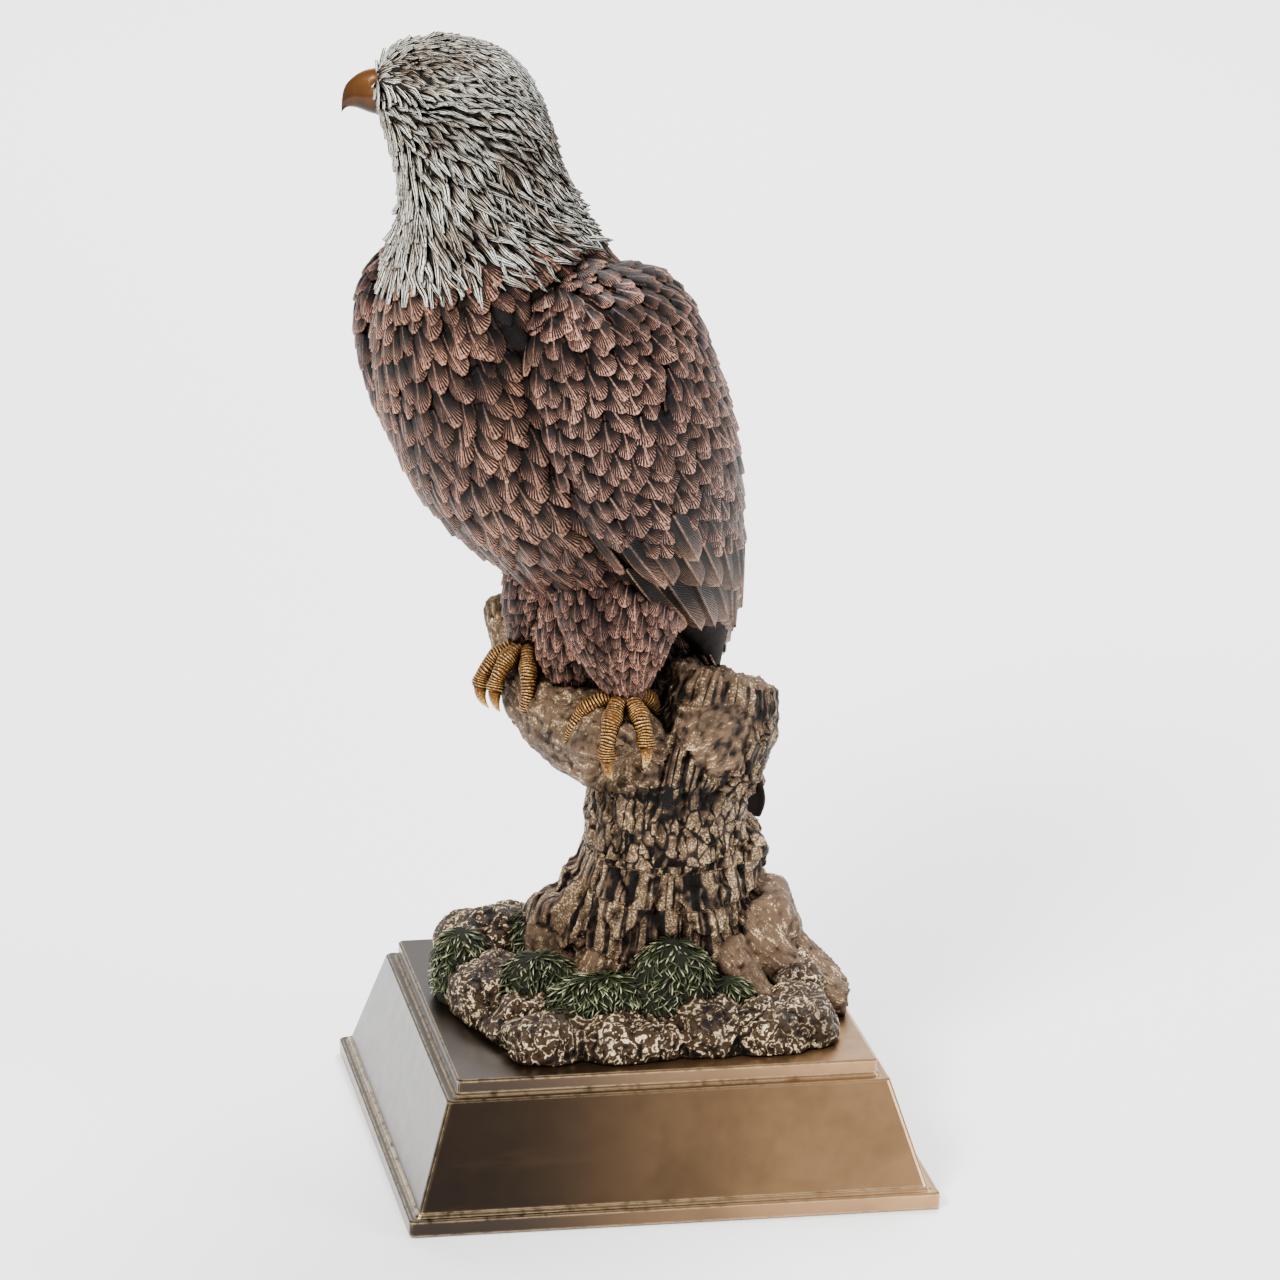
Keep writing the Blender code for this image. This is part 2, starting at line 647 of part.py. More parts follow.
def joined(parts, name, material):
    """One solid from overlapping forms, cut off flat at the seat."""
    whole, *others = parts
    collection = bpy.data.collections.new("forms")
    bpy.context.scene.collection.children.link(collection)
    collection.hide_render = True
    for form in others:
        bpy.context.scene.collection.objects.unlink(form)
        collection.objects.link(form)
        form.hide_render = True
        form.display_type = "WIRE"
    union = whole.modifiers.new("join", "BOOLEAN")
    union.operation = "UNION"
    union.operand_type = "COLLECTION"
    union.collection = collection
    union.solver = "MANIFOLD"
    fuse = whole.modifiers.new("fuse", "REMESH")
    fuse.mode = "VOXEL"
    fuse.voxel_size = FUSE_GRAIN
    thin = whole.modifiers.new("fewer_faces", "DECIMATE")
    thin.ratio = FACE_SHARE
    below = bmesh.new()
    bmesh.ops.create_cube(below, size=1.0)
    bmesh.ops.scale(below, verts=below.verts, vec=(0.5, 0.5, 0.1))
    bmesh.ops.translate(below, verts=below.verts, vec=(0, 0, SEAT - 0.05))
    mesh = bpy.data.meshes.new("below_seat")
    below.to_mesh(mesh)
    below.free()
    cutter = bpy.data.objects.new("below_seat", mesh)
    bpy.context.scene.collection.objects.link(cutter)
    cutter.hide_render = True
    cutter.display_type = "WIRE"
    cut = whole.modifiers.new("seat", "BOOLEAN")
    cut.operation = "DIFFERENCE"
    cut.object = cutter
    cut.solver = "EXACT"
    whole.name = name
    whole.data.materials.append(material)
    return whole


def casting():
    """The bird, the timber, the rocks and the ground, as one solid."""
    forms = [ground_mat(), feathered_body(), tail()]
    forms += [wing(1), wing(-1)]
    forms.append(tuft("vent", VENT_RINGS, 1, (0.0, 0.0, 0.0)))
    for side, ankle, toes in ((1, LEFT_ANKLE, LEFT_TOES), (-1, RIGHT_ANKLE, RIGHT_TOES)):
        hip = LEG_RINGS[-1]
        forms.append(tuft("thigh", LEG_RINGS, side, (ankle[0] - hip[0], ankle[1] - side * hip[1], ankle[2])))
        forms += foot(ankle, toes)
    forms += head_details()
    forms.append(timber("trunk", TRUNK_LINE, 21, 10))
    forms.append(timber("stub", STUB_LINE, 17, 7, 0.010))
    forms.append(timber("limb", LIMB_LINE, 15, 10, 0.010))
    forms += [root(*row) for row in ROOTS]
    forms += [flap(*row) for row in FLAPS]
    forms += [lump("rock", x, y, a, b, c, turn, 0.006, n) for n, (x, y, a, b, c, turn) in enumerate(ROCKS)]
    forms += [lump("moss", x, y, a, b, c, 0, 0.006, 40 + n) for n, (x, y, a, b, c) in enumerate(MOSSES)]
    forms += [lump("burr", x, y, r, r, r, 0, high, 60 + n) for n, (x, y, high, r) in enumerate(BURRS)]
    return joined(forms, "eagle_on_stump", finish("bronzed_resin", (0.16, 0.11, 0.08), 0.5, 0.5))


def main():
    start_clean()
    base = plinth()
    base.data.materials.append(finish("bronzed_plinth", (0.32, 0.23, 0.15), 0.35, 0.8))
    casting()


main()
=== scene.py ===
"""Eagle on a broken stump, on its plinth: everything that shows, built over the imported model.

Each section below makes one piece. Lengths are metres, +Z is up and the plinth's front looks
towards -Y. The bird has a frame of its own: forward, left and up from the limb between its feet.
"""

import math

import bmesh
import bpy
import numpy as np
from mathutils import Matrix, Vector, noise


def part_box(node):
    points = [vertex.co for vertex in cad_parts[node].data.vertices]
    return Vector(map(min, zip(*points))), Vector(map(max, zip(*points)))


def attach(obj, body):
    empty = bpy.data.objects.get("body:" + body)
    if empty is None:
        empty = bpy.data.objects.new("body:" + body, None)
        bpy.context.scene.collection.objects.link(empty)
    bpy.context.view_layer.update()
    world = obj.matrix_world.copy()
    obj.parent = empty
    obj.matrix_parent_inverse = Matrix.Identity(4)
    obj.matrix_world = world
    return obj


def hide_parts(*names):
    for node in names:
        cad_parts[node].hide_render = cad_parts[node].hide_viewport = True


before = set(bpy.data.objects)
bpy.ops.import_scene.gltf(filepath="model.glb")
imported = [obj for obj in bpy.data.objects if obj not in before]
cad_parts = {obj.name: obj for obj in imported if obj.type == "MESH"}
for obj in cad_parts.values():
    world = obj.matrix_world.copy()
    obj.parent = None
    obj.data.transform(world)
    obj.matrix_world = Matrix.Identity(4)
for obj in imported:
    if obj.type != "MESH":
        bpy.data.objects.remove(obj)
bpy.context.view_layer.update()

# Plinth
# A hollow moulded block in satin antique bronze: slab, lip, tapered body, set-in lip and cap.
# The casting is screwed to it from below. Its edges are rubbed bright.


def linear(text):
    """A colour written as sRGB hex, as linear RGBA."""
    parts = [int(text[i:i + 2], 16) / 255 for i in (1, 3, 5)]
    return (*[c / 12.92 if c <= 0.04045 else ((c + 0.055) / 1.055) ** 2.4 for c in parts], 1.0)


def join_up(tree, node, inputs):
    """Gives each input of a node its value or another node's output."""
    for key, value in dict(inputs).items():
        if isinstance(value, bpy.types.Node):
            value = value.outputs[0]
        if isinstance(value, bpy.types.NodeSocket):
            tree.links.new(value, node.inputs[key])
        else:
            node.inputs[key].default_value = value


def add(tree, kind, inputs=(), **settings):
    """Adds a node with its settings and joins up its inputs."""
    made = tree.nodes.new(kind)
    for name, value in settings.items():
        setattr(made, name, value)
    join_up(tree, made, inputs)
    return made


def calc(tree, operation, *values, clamp=False):
    """The output of a Math node."""
    return add(tree, "ShaderNodeMath", enumerate(values), operation=operation, use_clamp=clamp).outputs[0]


def blend_colour(tree, factor, below, above):
    """One colour over another."""
    inputs = {0: factor, 6: below, 7: above}
    return add(tree, "ShaderNodeMix", inputs, data_type="RGBA").outputs[2]


def fade(tree, value, low, high, start=0.0, end=1.0):
    """A smooth step of a value from low to high."""
    inputs = {0: value, 1: low, 2: high, 3: start, 4: end}
    return add(tree, "ShaderNodeMapRange", inputs, interpolation_type="SMOOTHSTEP").outputs[0]


def grain(tree, per_metre, detail=3.0, stretch=(1.0, 1.0, 1.0), rough=0.6):
    """Noise in object coordinates, its pattern repeating about that many times a metre."""
    place = add(tree, "ShaderNodeTexCoord").outputs["Object"]
    place = add(tree, "ShaderNodeMapping", {"Vector": place, "Scale": stretch})
    inputs = {"Vector": place, "Scale": per_metre, "Detail": detail, "Roughness": rough}
    return add(tree, "ShaderNodeTexNoise", inputs).outputs["Fac"]


def new_material(name):
    """A material and its tree, holding just its shader and output."""
    made = bpy.data.materials.new(name)
    made.use_nodes = True
    return made, made.node_tree, made.node_tree.nodes["Principled BSDF"]


def edge_wear(tree, radius):
    """1 on the crests within that radius of an edge, 0 on the flats."""
    round_normal = add(tree, "ShaderNodeBevel", {"Radius": radius}, samples=6)
    true_normal = add(tree, "ShaderNodeNewGeometry").outputs["Normal"]
    same = add(tree, "ShaderNodeVectorMath", {0: round_normal, 1: true_normal}, operation="DOT_PRODUCT")
    return fade(tree, same.outputs["Value"], 0.995, 0.90)


def antique_bronze():
    """Brown lacquered bronze plate: metal under a clear coat, clouded, bright at its edges, with a painted
    sheen that runs from dark at the left to light at the right.
    """
    made, tree, shader = new_material("antique_bronze")
    cloud = grain(tree, 14, 4)
    streak = grain(tree, 60, 3, (0.15, 0.15, 1.0))
    place = add(tree, "ShaderNodeTexCoord").outputs["Object"]
    from_left = add(tree, "ShaderNodeSeparateXYZ", {0: place}).outputs[0]
    # Painted sheen: the colour runs from dark brown at the left to light bronze at the right.
    colour = blend_colour(tree, fade(tree, from_left, -0.10, 0.16), linear("#20150a"), linear("#a67f56"))
    colour = blend_colour(tree, fade(tree, cloud, 0.40, 0.66, 0.0, 0.35), colour, linear("#33230f"))
    colour = blend_colour(tree, fade(tree, streak, 0.55, 0.75, 0.0, 0.2), colour, linear("#5c4229"))
    worn = calc(tree, "MULTIPLY", edge_wear(tree, 0.0016), fade(tree, grain(tree, 220, 3), 0.25, 0.6))
    colour = blend_colour(tree, calc(tree, "MULTIPLY", worn, 0.8), colour, linear("#dcbd8e"))
    rough = calc(tree, "ADD", calc(tree, "MULTIPLY", grain(tree, 90, 4), 0.16), 0.24)
    bump = add(tree, "ShaderNodeBump", {"Height": grain(tree, 900, 2), "Strength": 0.10, "Distance": 0.0002})
    join_up(tree, shader, {
        "Base Color": colour, "Roughness": rough, "Normal": bump, "Metallic": 0.85, "IOR": 1.5,
        "Coat Weight": 0.3, "Coat Roughness": 0.18,
    })
    return made


def give(obj, material):
    """Makes a material the only one of an object."""
    obj.data.materials.clear()
    obj.data.materials.append(material)


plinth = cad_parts["plinth"]
give(plinth, antique_bronze())

# Head and neck
# Cast resin with the rest of the bird: narrow wavy hackles over a domed skull, painted silver
# white and dry brushed over dark painted shade. Its core is the skull and neck that they lie on.

PLINTH_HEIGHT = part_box("plinth")[1][2]
SEAT = PLINTH_HEIGHT + 0.0003
PERCH_HEIGHT = 0.166
PERCH = np.array((-0.0373, 0.0017, PLINTH_HEIGHT + PERCH_HEIGHT))
BIRD_HEADING = math.radians(209.7)
HEAD_YAW = -50.0
# From crown to tail root: middle forward, left and up; yaw and pitch; radius to the front, to the
# back and to the side.
BODY_RINGS = (
    (0.062, -0.015, 0.3225, HEAD_YAW, 0, 0.012, 0.015, 0.010),
    (0.062, -0.014, 0.3170, HEAD_YAW, 0, 0.025, 0.029, 0.021),
    (0.061, -0.013, 0.3060, HEAD_YAW, 0, 0.032, 0.037, 0.0280),
    (0.060, -0.012, 0.2920, HEAD_YAW, 0, 0.033, 0.043, 0.031),
    (0.060, -0.010, 0.2770, HEAD_YAW, 0, 0.028, 0.046, 0.033),
    (0.059, -0.007, 0.2600, -46, -2, 0.025, 0.048, 0.037),
    (0.057, -0.004, 0.2440, -36, -6, 0.029, 0.050, 0.042),
    (0.051, -0.002, 0.2240, -20, -14, 0.042, 0.052, 0.051),
    (0.041, 0.0, 0.2010, -6, -20, 0.058, 0.055, 0.062),
    (0.026, 0.0, 0.1720, 0, -25, 0.069, 0.060, 0.072),
    (0.010, 0.0, 0.1380, 0, -27, 0.070, 0.060, 0.075),
    (-0.008, 0.0, 0.1050, 0, -28, 0.061, 0.054, 0.070),
    (-0.028, 0.0, 0.0750, 0, -28, 0.048, 0.044, 0.060),
    (-0.042, 0.0, 0.0480, 0, -28, 0.038, 0.034, 0.045),
    (-0.056, 0.0, 0.0240, 0, -28, 0.024, 0.022, 0.030),
)


def between(table, place):
    """The rows of a table at places between its rows, along a smooth curve through them."""
    rows = np.asarray(table, float)
    place = np.clip(np.asarray(place, float), 0, len(rows) - 1)
    i = np.minimum(place.astype(int), len(rows) - 2)
    t = (place - i)[..., None]
    a, b = rows[i], rows[i + 1]
    slope_a = (b - rows[np.maximum(i - 1, 0)]) / 2
    slope_b = (rows[np.minimum(i + 2, len(rows) - 1)] - a) / 2
    return (
        a * (2 * t**3 - 3 * t**2 + 1)
        + slope_a * (t**3 - 2 * t**2 + t)
        + b * (3 * t**2 - 2 * t**3)
        + slope_b * (t**3 - t**2)
    )


def of_bird(points):
    """Points of the bird's own frame, in the model's frame."""
    c, s = math.cos(BIRD_HEADING), math.sin(BIRD_HEADING)
    p = np.asarray(points, float)
    return PERCH + np.stack((p[..., 0] * c - p[..., 1] * s, p[..., 0] * s + p[..., 1] * c, p[..., 2]), -1)


def ring_axes(yaw, pitch):
    """Front and left directions of rings in the bird's frame, from yaw and pitch in degrees."""
    a, b = np.radians(yaw), np.radians(pitch)
    front = np.stack((np.cos(a) * np.cos(b), np.sin(a) * np.cos(b), np.sin(b)), -1)
    return front, np.stack((-np.sin(a), np.cos(a), np.zeros_like(a)), -1)


def brow(along, turn):
    """How far the skull swells over each eye, and sinks in its socket."""
    away = np.abs((turn + math.pi) % (2 * math.pi) - math.pi)
    ridge = 0.0042 * np.exp(-(((along - 1.95) / 0.30) ** 2) - ((away - 0.85) / 0.50) ** 2)
    return ridge - 0.0030 * np.exp(-(((along - 2.45) / 0.22) ** 2) - ((away - 0.72) / 0.25) ** 2)


def body_at(along, turn, lift=0.0):
    """Points of the head, neck and trunk: along from crown to tail root, turn round the ring.

    Below 0 along, the first ring closes over the crown.
    """
    row = between(BODY_RINGS, along)
    lift = lift + brow(along, turn)
    front, left = ring_axes(row[..., 3], row[..., 4])
    shrink = np.clip(1 + along, 0, 1)
    depth = (np.where(np.cos(turn) > 0, row[..., 5], row[..., 6]) + lift) * shrink
    breadth = (row[..., 7] + lift) * shrink
    out = front * (np.cos(turn) * depth)[..., None] + left * (np.sin(turn) * breadth)[..., None]
    middle = row[..., :3].copy()
    middle[..., 2] += (0.0022 + lift) * (1 - shrink**2)
    return of_bird(middle + out)


def placed(name, data):
    """A new object of that data, in the scene."""
    made = bpy.data.objects.new(name, data)
    bpy.context.scene.collection.objects.link(made)
    return made


def new_object(name, points, faces):
    """An object from points and faces, with its faces pointing out."""
    mesh = bpy.data.meshes.new(name)
    mesh.from_pydata([tuple(map(float, p)) for p in points], [], faces)
    made = placed(name, mesh)
    work = bmesh.new()
    work.from_mesh(mesh)
    bmesh.ops.recalc_face_normals(work, faces=work.faces)
    for face in work.faces:
        face.smooth = True
    work.to_mesh(mesh)
    work.free()
    return made


def skin(name, rings):
    """A closed solid through rings of equal length, its ends filled by fans on their middles."""
    rings = np.asarray(rings, float)
    n, count = rings.shape[:2]
    points = list(rings.reshape(-1, 3))
    faces = []
    for i in range(n - 1):
        for j in range(count):
            k = (j + 1) % count
            faces.append((i * count + j, i * count + k, (i + 1) * count + k, (i + 1) * count + j))
    for first in (0, (n - 1) * count):
        points.append(np.mean(points[first:first + count], axis=0))
        faces += [(first + j, first + (j + 1) % count, len(points) - 1) for j in range(count)]
    return new_object(name, points, faces)


def loft(name, surface, start, end, rings, columns):
    """A closed skin over a stretch of a surface."""
    turns = np.linspace(-math.pi, math.pi, columns, endpoint=False)
    return skin(name, [surface(np.full(columns, a), turns) for a in np.linspace(start, end, rings)])


def unit(v):
    """Vectors made one long."""
    return v / np.maximum(np.linalg.norm(v, axis=-1, keepdims=True), 1e-9)


def rows_down(surface, start, end, spacing, low=-math.pi, high=math.pi):
    """Places along a surface whose rows are the spacing apart; spacing may change with place."""
    places = []
    a = start
    turns = np.linspace(low, high, 9)
    while a < end:
        places.append(a)
        step = surface(np.full(9, a + 0.05), turns) - surface(np.full(9, a), turns)
        a += spacing(a) * 0.05 / max(np.linalg.norm(step, axis=1).mean(), 1e-5)
    return places


def coat(surface, places, width, length, tilt, seed, low=-math.pi, high=math.pi, keep=None, pack=0.8):
    """Roots of overlapping feathers in staggered rows: a dict of arrays, one row per feather."""
    rng = np.random.default_rng(seed)
    along, turn, half, reach, rise = [], [], [], [], []
    for n, place in enumerate(places):
        turns = np.linspace(low, high, 240)
        line = surface(np.full(240, place), turns)
        arc = np.concatenate(((0.0,), np.cumsum(np.linalg.norm(np.diff(line, axis=0), axis=1))))
        count = max(3, round(arc[-1] / (width(place) * pack)))
        spots = (np.arange(count) + 0.5 * (n % 2) + rng.uniform(-0.24, 0.24, count)) / count
        turn.append(np.interp(np.mod(spots, 1.0) * arc[-1], arc, turns))
        along.append(place + rng.uniform(-1, 1, count) * 0.30 * (places[1] - places[0]))
        half.append(width(place) / 2 * rng.uniform(0.80, 1.22, count))
        reach.append(length(place) * rng.uniform(0.82, 1.20, count))
        rise.append(tilt(place) * rng.uniform(0.8, 1.3, count))
    along, turn = np.concatenate(along), np.concatenate(turn)
    half, reach, rise = np.concatenate(half), np.concatenate(reach), np.concatenate(rise)
    if keep is not None:
        chosen = keep(along, turn)
        along, turn, half, reach, rise = (v[chosen] for v in (along, turn, half, reach, rise))
    return settle(surface, along, turn, half, reach, rise, rng)


def settle(surface, along, turn, half, reach, rise, rng):
    """The lie of each feather on a surface: root, direction, outward normal and the way it bends.

    A feather's tip comes back to the surface, however long it is, and rise lifts it from there.
    Those past the surface's ends, where it has no direction, are left out.
    """
    root = surface(along, turn)
    near, aside = 0.04, 0.12
    down = (surface(along + near, turn) - surface(along - near, turn)) / (2 * near)
    round_it = surface(along, turn + near) - surface(along, turn - near)
    lies = (np.linalg.norm(down, axis=1) > 1e-6) & (np.linalg.norm(round_it, axis=1) > 1e-6)
    down[~lies], round_it[~lies] = (1.0, 0.0, 0.0), (0.0, 1.0, 0.0)
    inside = surface(along, turn, -0.004)
    out = unit(np.cross(down, round_it))
    out *= np.sign(np.sum(out * (root - inside), axis=1))[:, None]
    span = surface(along + reach / np.linalg.norm(down, axis=1), turn) - root
    drop = np.sum(span * out, axis=1)
    flat = span - out * drop[:, None] + down * 1e-3
    bend_along = np.clip(-drop / np.sum(flat * flat, axis=1), -25, 40)
    sideways = surface(along, turn + aside) + surface(along, turn - aside) - 2 * root
    breadth = np.sum(round_it**2, axis=1) * (aside / (2 * near)) ** 2
    bend_across = np.clip(-np.sum(sideways * out, axis=1) / (2 * breadth), -6, 40)
    leans = [rng.uniform(low, 1, len(root)) for low in (-1, -1, 0.13)]
    growth = {
        "root": root,
        "way": unit(flat),
        "out": out,
        "size": np.stack((half, reach, 0.16 * half), 1),
        "bend": np.stack((bend_across, bend_along, rise), 1),
        "lean": np.stack(leans, 1),
    }
    return {key: values[lies] for key, values in growth.items()}


def feather_tree():
    """Grows a blade on every point of another object and joins them to the geometry it is given.

    The points say where each blade is rooted, where it points and how it bends; the inputs say
    what shape it has, so the same tree makes hackles, feathers, quills and moss.
    """
    tree = bpy.data.node_groups.new("grow_blades", "GeometryNodeTree")
    face = tree.interface
    face.new_socket(name="Core", in_out="INPUT", socket_type="NodeSocketGeometry")
    for name, kind, value in (
        ("Growth points", "NodeSocketObject", None),
        ("Blade material", "NodeSocketMaterial", None),
        ("Cells across", "NodeSocketInt", 5),
        ("Cells along", "NodeSocketInt", 7),
        ("Root width", "NodeSocketFloat", 0.6),
        ("Tip bluntness", "NodeSocketFloat", 4.0),
        ("Tip sharpness", "NodeSocketFloat", 0.5),
        ("Shaft height", "NodeSocketFloat", 0.5),
        ("Wave", "NodeSocketFloat", 0.0),
        ("Sideways lean", "NodeSocketFloat", 0.1),
    ):
        made = face.new_socket(name=name, in_out="INPUT", socket_type=kind)
        if value is not None:
            made.default_value = value
    face.new_socket(name="Geometry", in_out="OUTPUT", socket_type="NodeSocketGeometry")
    given = tree.nodes.new("NodeGroupInput").outputs
    across, along = given["Cells across"], given["Cells along"]
    block = {"Size": (2.0, 1.0, 1.0), "Vertices X": across, "Vertices Y": along, "Vertices Z": 2}
    block = add(tree, "GeometryNodeMeshCube", block)
    place = add(tree, "GeometryNodeInputPosition")
    centred = add(tree, "ShaderNodeVectorMath", {0: place, 1: (0.0, 0.5, 0.0)}, operation="ADD")
    on_points = {"data_type": "FLOAT_VECTOR", "domain": "POINT"}
    marked = {"Geometry": block, "Name": "blade", "Value": centred}
    marked = add(tree, "GeometryNodeStoreNamedAttribute", marked, **on_points)
    points = add(tree, "GeometryNodeObjectInfo", {"Object": given["Growth points"]}).outputs["Geometry"]
    grown = add(tree, "GeometryNodeInstanceOnPoints", {"Points": points, "Instance": marked})
    real = add(tree, "GeometryNodeRealizeInstances", {"Geometry": grown})

    def known(name):
        field = add(tree, "GeometryNodeInputNamedAttribute", {"Name": name}, data_type="FLOAT_VECTOR")
        return field.outputs[0]

    def split(vector):
        return add(tree, "ShaderNodeSeparateXYZ", {0: vector}).outputs

    def sum_of(first, *others):
        for other in others:
            first = calc(tree, "ADD", first, other)
        return first

    def product(first, *others):
        for other in others:
            first = calc(tree, "MULTIPLY", first, other)
        return first

    def less(a, b):
        return calc(tree, "SUBTRACT", a, b)

    def moved(start, way, distance):
        step = add(tree, "ShaderNodeVectorMath", {0: way, "Scale": distance}, operation="SCALE")
        return add(tree, "ShaderNodeVectorMath", {0: start, 1: step}, operation="ADD")

    u, v, top = split(known("blade"))
    half, reach, thick = split(known("size"))
    bend_across, bend_along, rise = split(known("bend"))
    lean_a, lean_b = split(known("lean"))[:2]
    swell = fade(tree, v, 0.0, 0.6, given["Root width"], 1.0)
    rounding = calc(tree, "POWER", product(v, 0.985), given["Tip bluntness"])
    outline = product(swell, calc(tree, "POWER", less(1.0, rounding), given["Tip sharpness"]))
    waving = product(calc(tree, "SINE", product(v, 5.0)), product(given["Wave"], lean_b))
    leaning = product(v, product(given["Sideways lean"], lean_a))
    aside = sum_of(product(u, half, outline), product(sum_of(waving, leaning), reach))
    ahead = product(v, reach)
    beside_shaft = product(calc(tree, "ABSOLUTE", u), 5.0)
    shaft = product(given["Shaft height"], calc(tree, "MAXIMUM", 0.0, less(1.0, beside_shaft)))
    dome = product(thick, sum_of(product(less(1.0, product(u, u)), 1.6), shaft))
    sink = product(less(top, 0.5), product(thick, 1.1))
    fall = sum_of(product(bend_across, product(aside, aside)), product(bend_along, product(ahead, ahead)))
    lifted = product(rise, reach, calc(tree, "POWER", v, 1.2))
    height = less(sum_of(lifted, dome, sink), fall)
    way, out = known("way"), known("out")
    side = add(tree, "ShaderNodeVectorMath", {0: way, 1: out}, operation="CROSS_PRODUCT")
    spot = moved(moved(moved(known("root"), side, aside), way, ahead), out, height)
    kept = add(tree, "ShaderNodeCombineXYZ", {0: u, 1: v, 2: product(u, outline)})
    kept = {"Geometry": real, "Name": "vane", "Value": kept}
    kept = add(tree, "GeometryNodeStoreNamedAttribute", kept, **on_points)
    shaped = add(tree, "GeometryNodeSetPosition", {"Geometry": kept, "Position": spot})
    smooth = add(tree, "GeometryNodeSetShadeSmooth", {"Geometry": shaped})
    dressed = {"Geometry": smooth, "Material": given["Blade material"]}
    dressed = add(tree, "GeometryNodeSetMaterial", dressed)
    both = add(tree, "GeometryNodeJoinGeometry", {0: dressed})
    tree.links.new(given["Core"], both.inputs[0])
    whole = add(tree, "GeometryNodeRealizeInstances", {"Geometry": both})
    add(tree, "NodeGroupOutput", {0: whole})
    return tree


GROW = feather_tree()


def joined(coats):
    """Several coats as one."""
    return {key: np.concatenate([one[key] for one in coats]) for key in coats[0]}


def note(mesh, name, values):
    """Keeps a number or a vector at every point of a mesh, for its growth or its paint."""
    values = np.asarray(values, np.float32)
    kind, key = ("FLOAT_VECTOR", "vector") if values.ndim == 2 else ("FLOAT", "value")
    mesh.attributes.new(name, kind, "POINT").data.foreach_set(key, values.ravel())


def make_plain(obj):
    """Turns an object with modifiers into its plain finished mesh."""
    bpy.context.view_layer.update()
    depsgraph = bpy.context.evaluated_depsgraph_get()
    mesh = bpy.data.meshes.new_from_object(obj.evaluated_get(depsgraph), depsgraph=depsgraph)
    obj.modifiers.clear()
    obj.data = mesh


def grow(core, growth, material, across, along, root, blunt, shaft, wave=0.0, lean=0.1, sharp=0.5):
    """Grows blades on a core and makes the result a plain mesh."""
    mesh = bpy.data.meshes.new(core.name + "_growth")
    mesh.from_pydata([tuple(map(float, p)) for p in growth["root"]], [], [])
    for key, values in growth.items():
        note(mesh, key, values)
    points = placed(core.name + "_growth", mesh)
    modifier = core.modifiers.new("grow", "NODES")
    modifier.node_group = GROW
    shape = {
        "Growth points": points, "Blade material": material, "Cells across": across, "Cells along": along,
        "Root width": root, "Tip bluntness": blunt, "Tip sharpness": sharp, "Shaft height": shaft,
        "Wave": wave, "Sideways lean": lean,
    }
    for item in GROW.interface.items_tree:
        if item.in_out == "INPUT" and item.name in shape:
            modifier[item.identifier] = shape[item.name]
    make_plain(core)
    bpy.data.objects.remove(points, do_unlink=True)
    return core


def parts_of(tree, name):
    """The three components of a piece's own attribute."""
    field = add(tree, "ShaderNodeAttribute", attribute_name=name).outputs["Vector"]
    return add(tree, "ShaderNodeSeparateXYZ", {0: field}).outputs


def wash_shade_and_finish(tree, shader, colour, height, wash_and_shade_colour, rough, bump_mm, reach_m, clear=(0.30, 0.86)):
    """Ends a painted-resin material: dark wash and painted shade in its hollows, painted shade over its broad
    recesses, relief and finish.
    """
    hidden = add(tree, "ShaderNodeAmbientOcclusion", {"Distance": reach_m}, samples=6).outputs["AO"]
    # Dark wash and painted shade: the colour darkens where the surface is closed in nearby.
    colour = blend_colour(tree, fade(tree, hidden, *clear), wash_and_shade_colour, colour)
    deep_shade = add(tree, "ShaderNodeAmbientOcclusion", {"Distance": reach_m * 6}, samples=4).outputs["AO"]
    # Painted shade: a wider darkening where the surface is closed in over a longer reach.
    colour = blend_colour(tree, fade(tree, deep_shade, 0.20, 0.72, 0.30, 1.0), wash_and_shade_colour, colour)
    shine = fade(tree, hidden, 0.45, 0.95, 0.03, 0.20)
    shine = calc(tree, "MULTIPLY", shine, fade(tree, deep_shade, 0.25, 0.70, 0.3, 1.0))
    bump = add(tree, "ShaderNodeBump", {"Height": height, "Strength": 1.0, "Distance": bump_mm / 1000})
    join_up(tree, shader, {
        "Base Color": colour, "Roughness": rough, "Specular IOR Level": shine, "Normal": bump, "IOR": 1.5,
    })


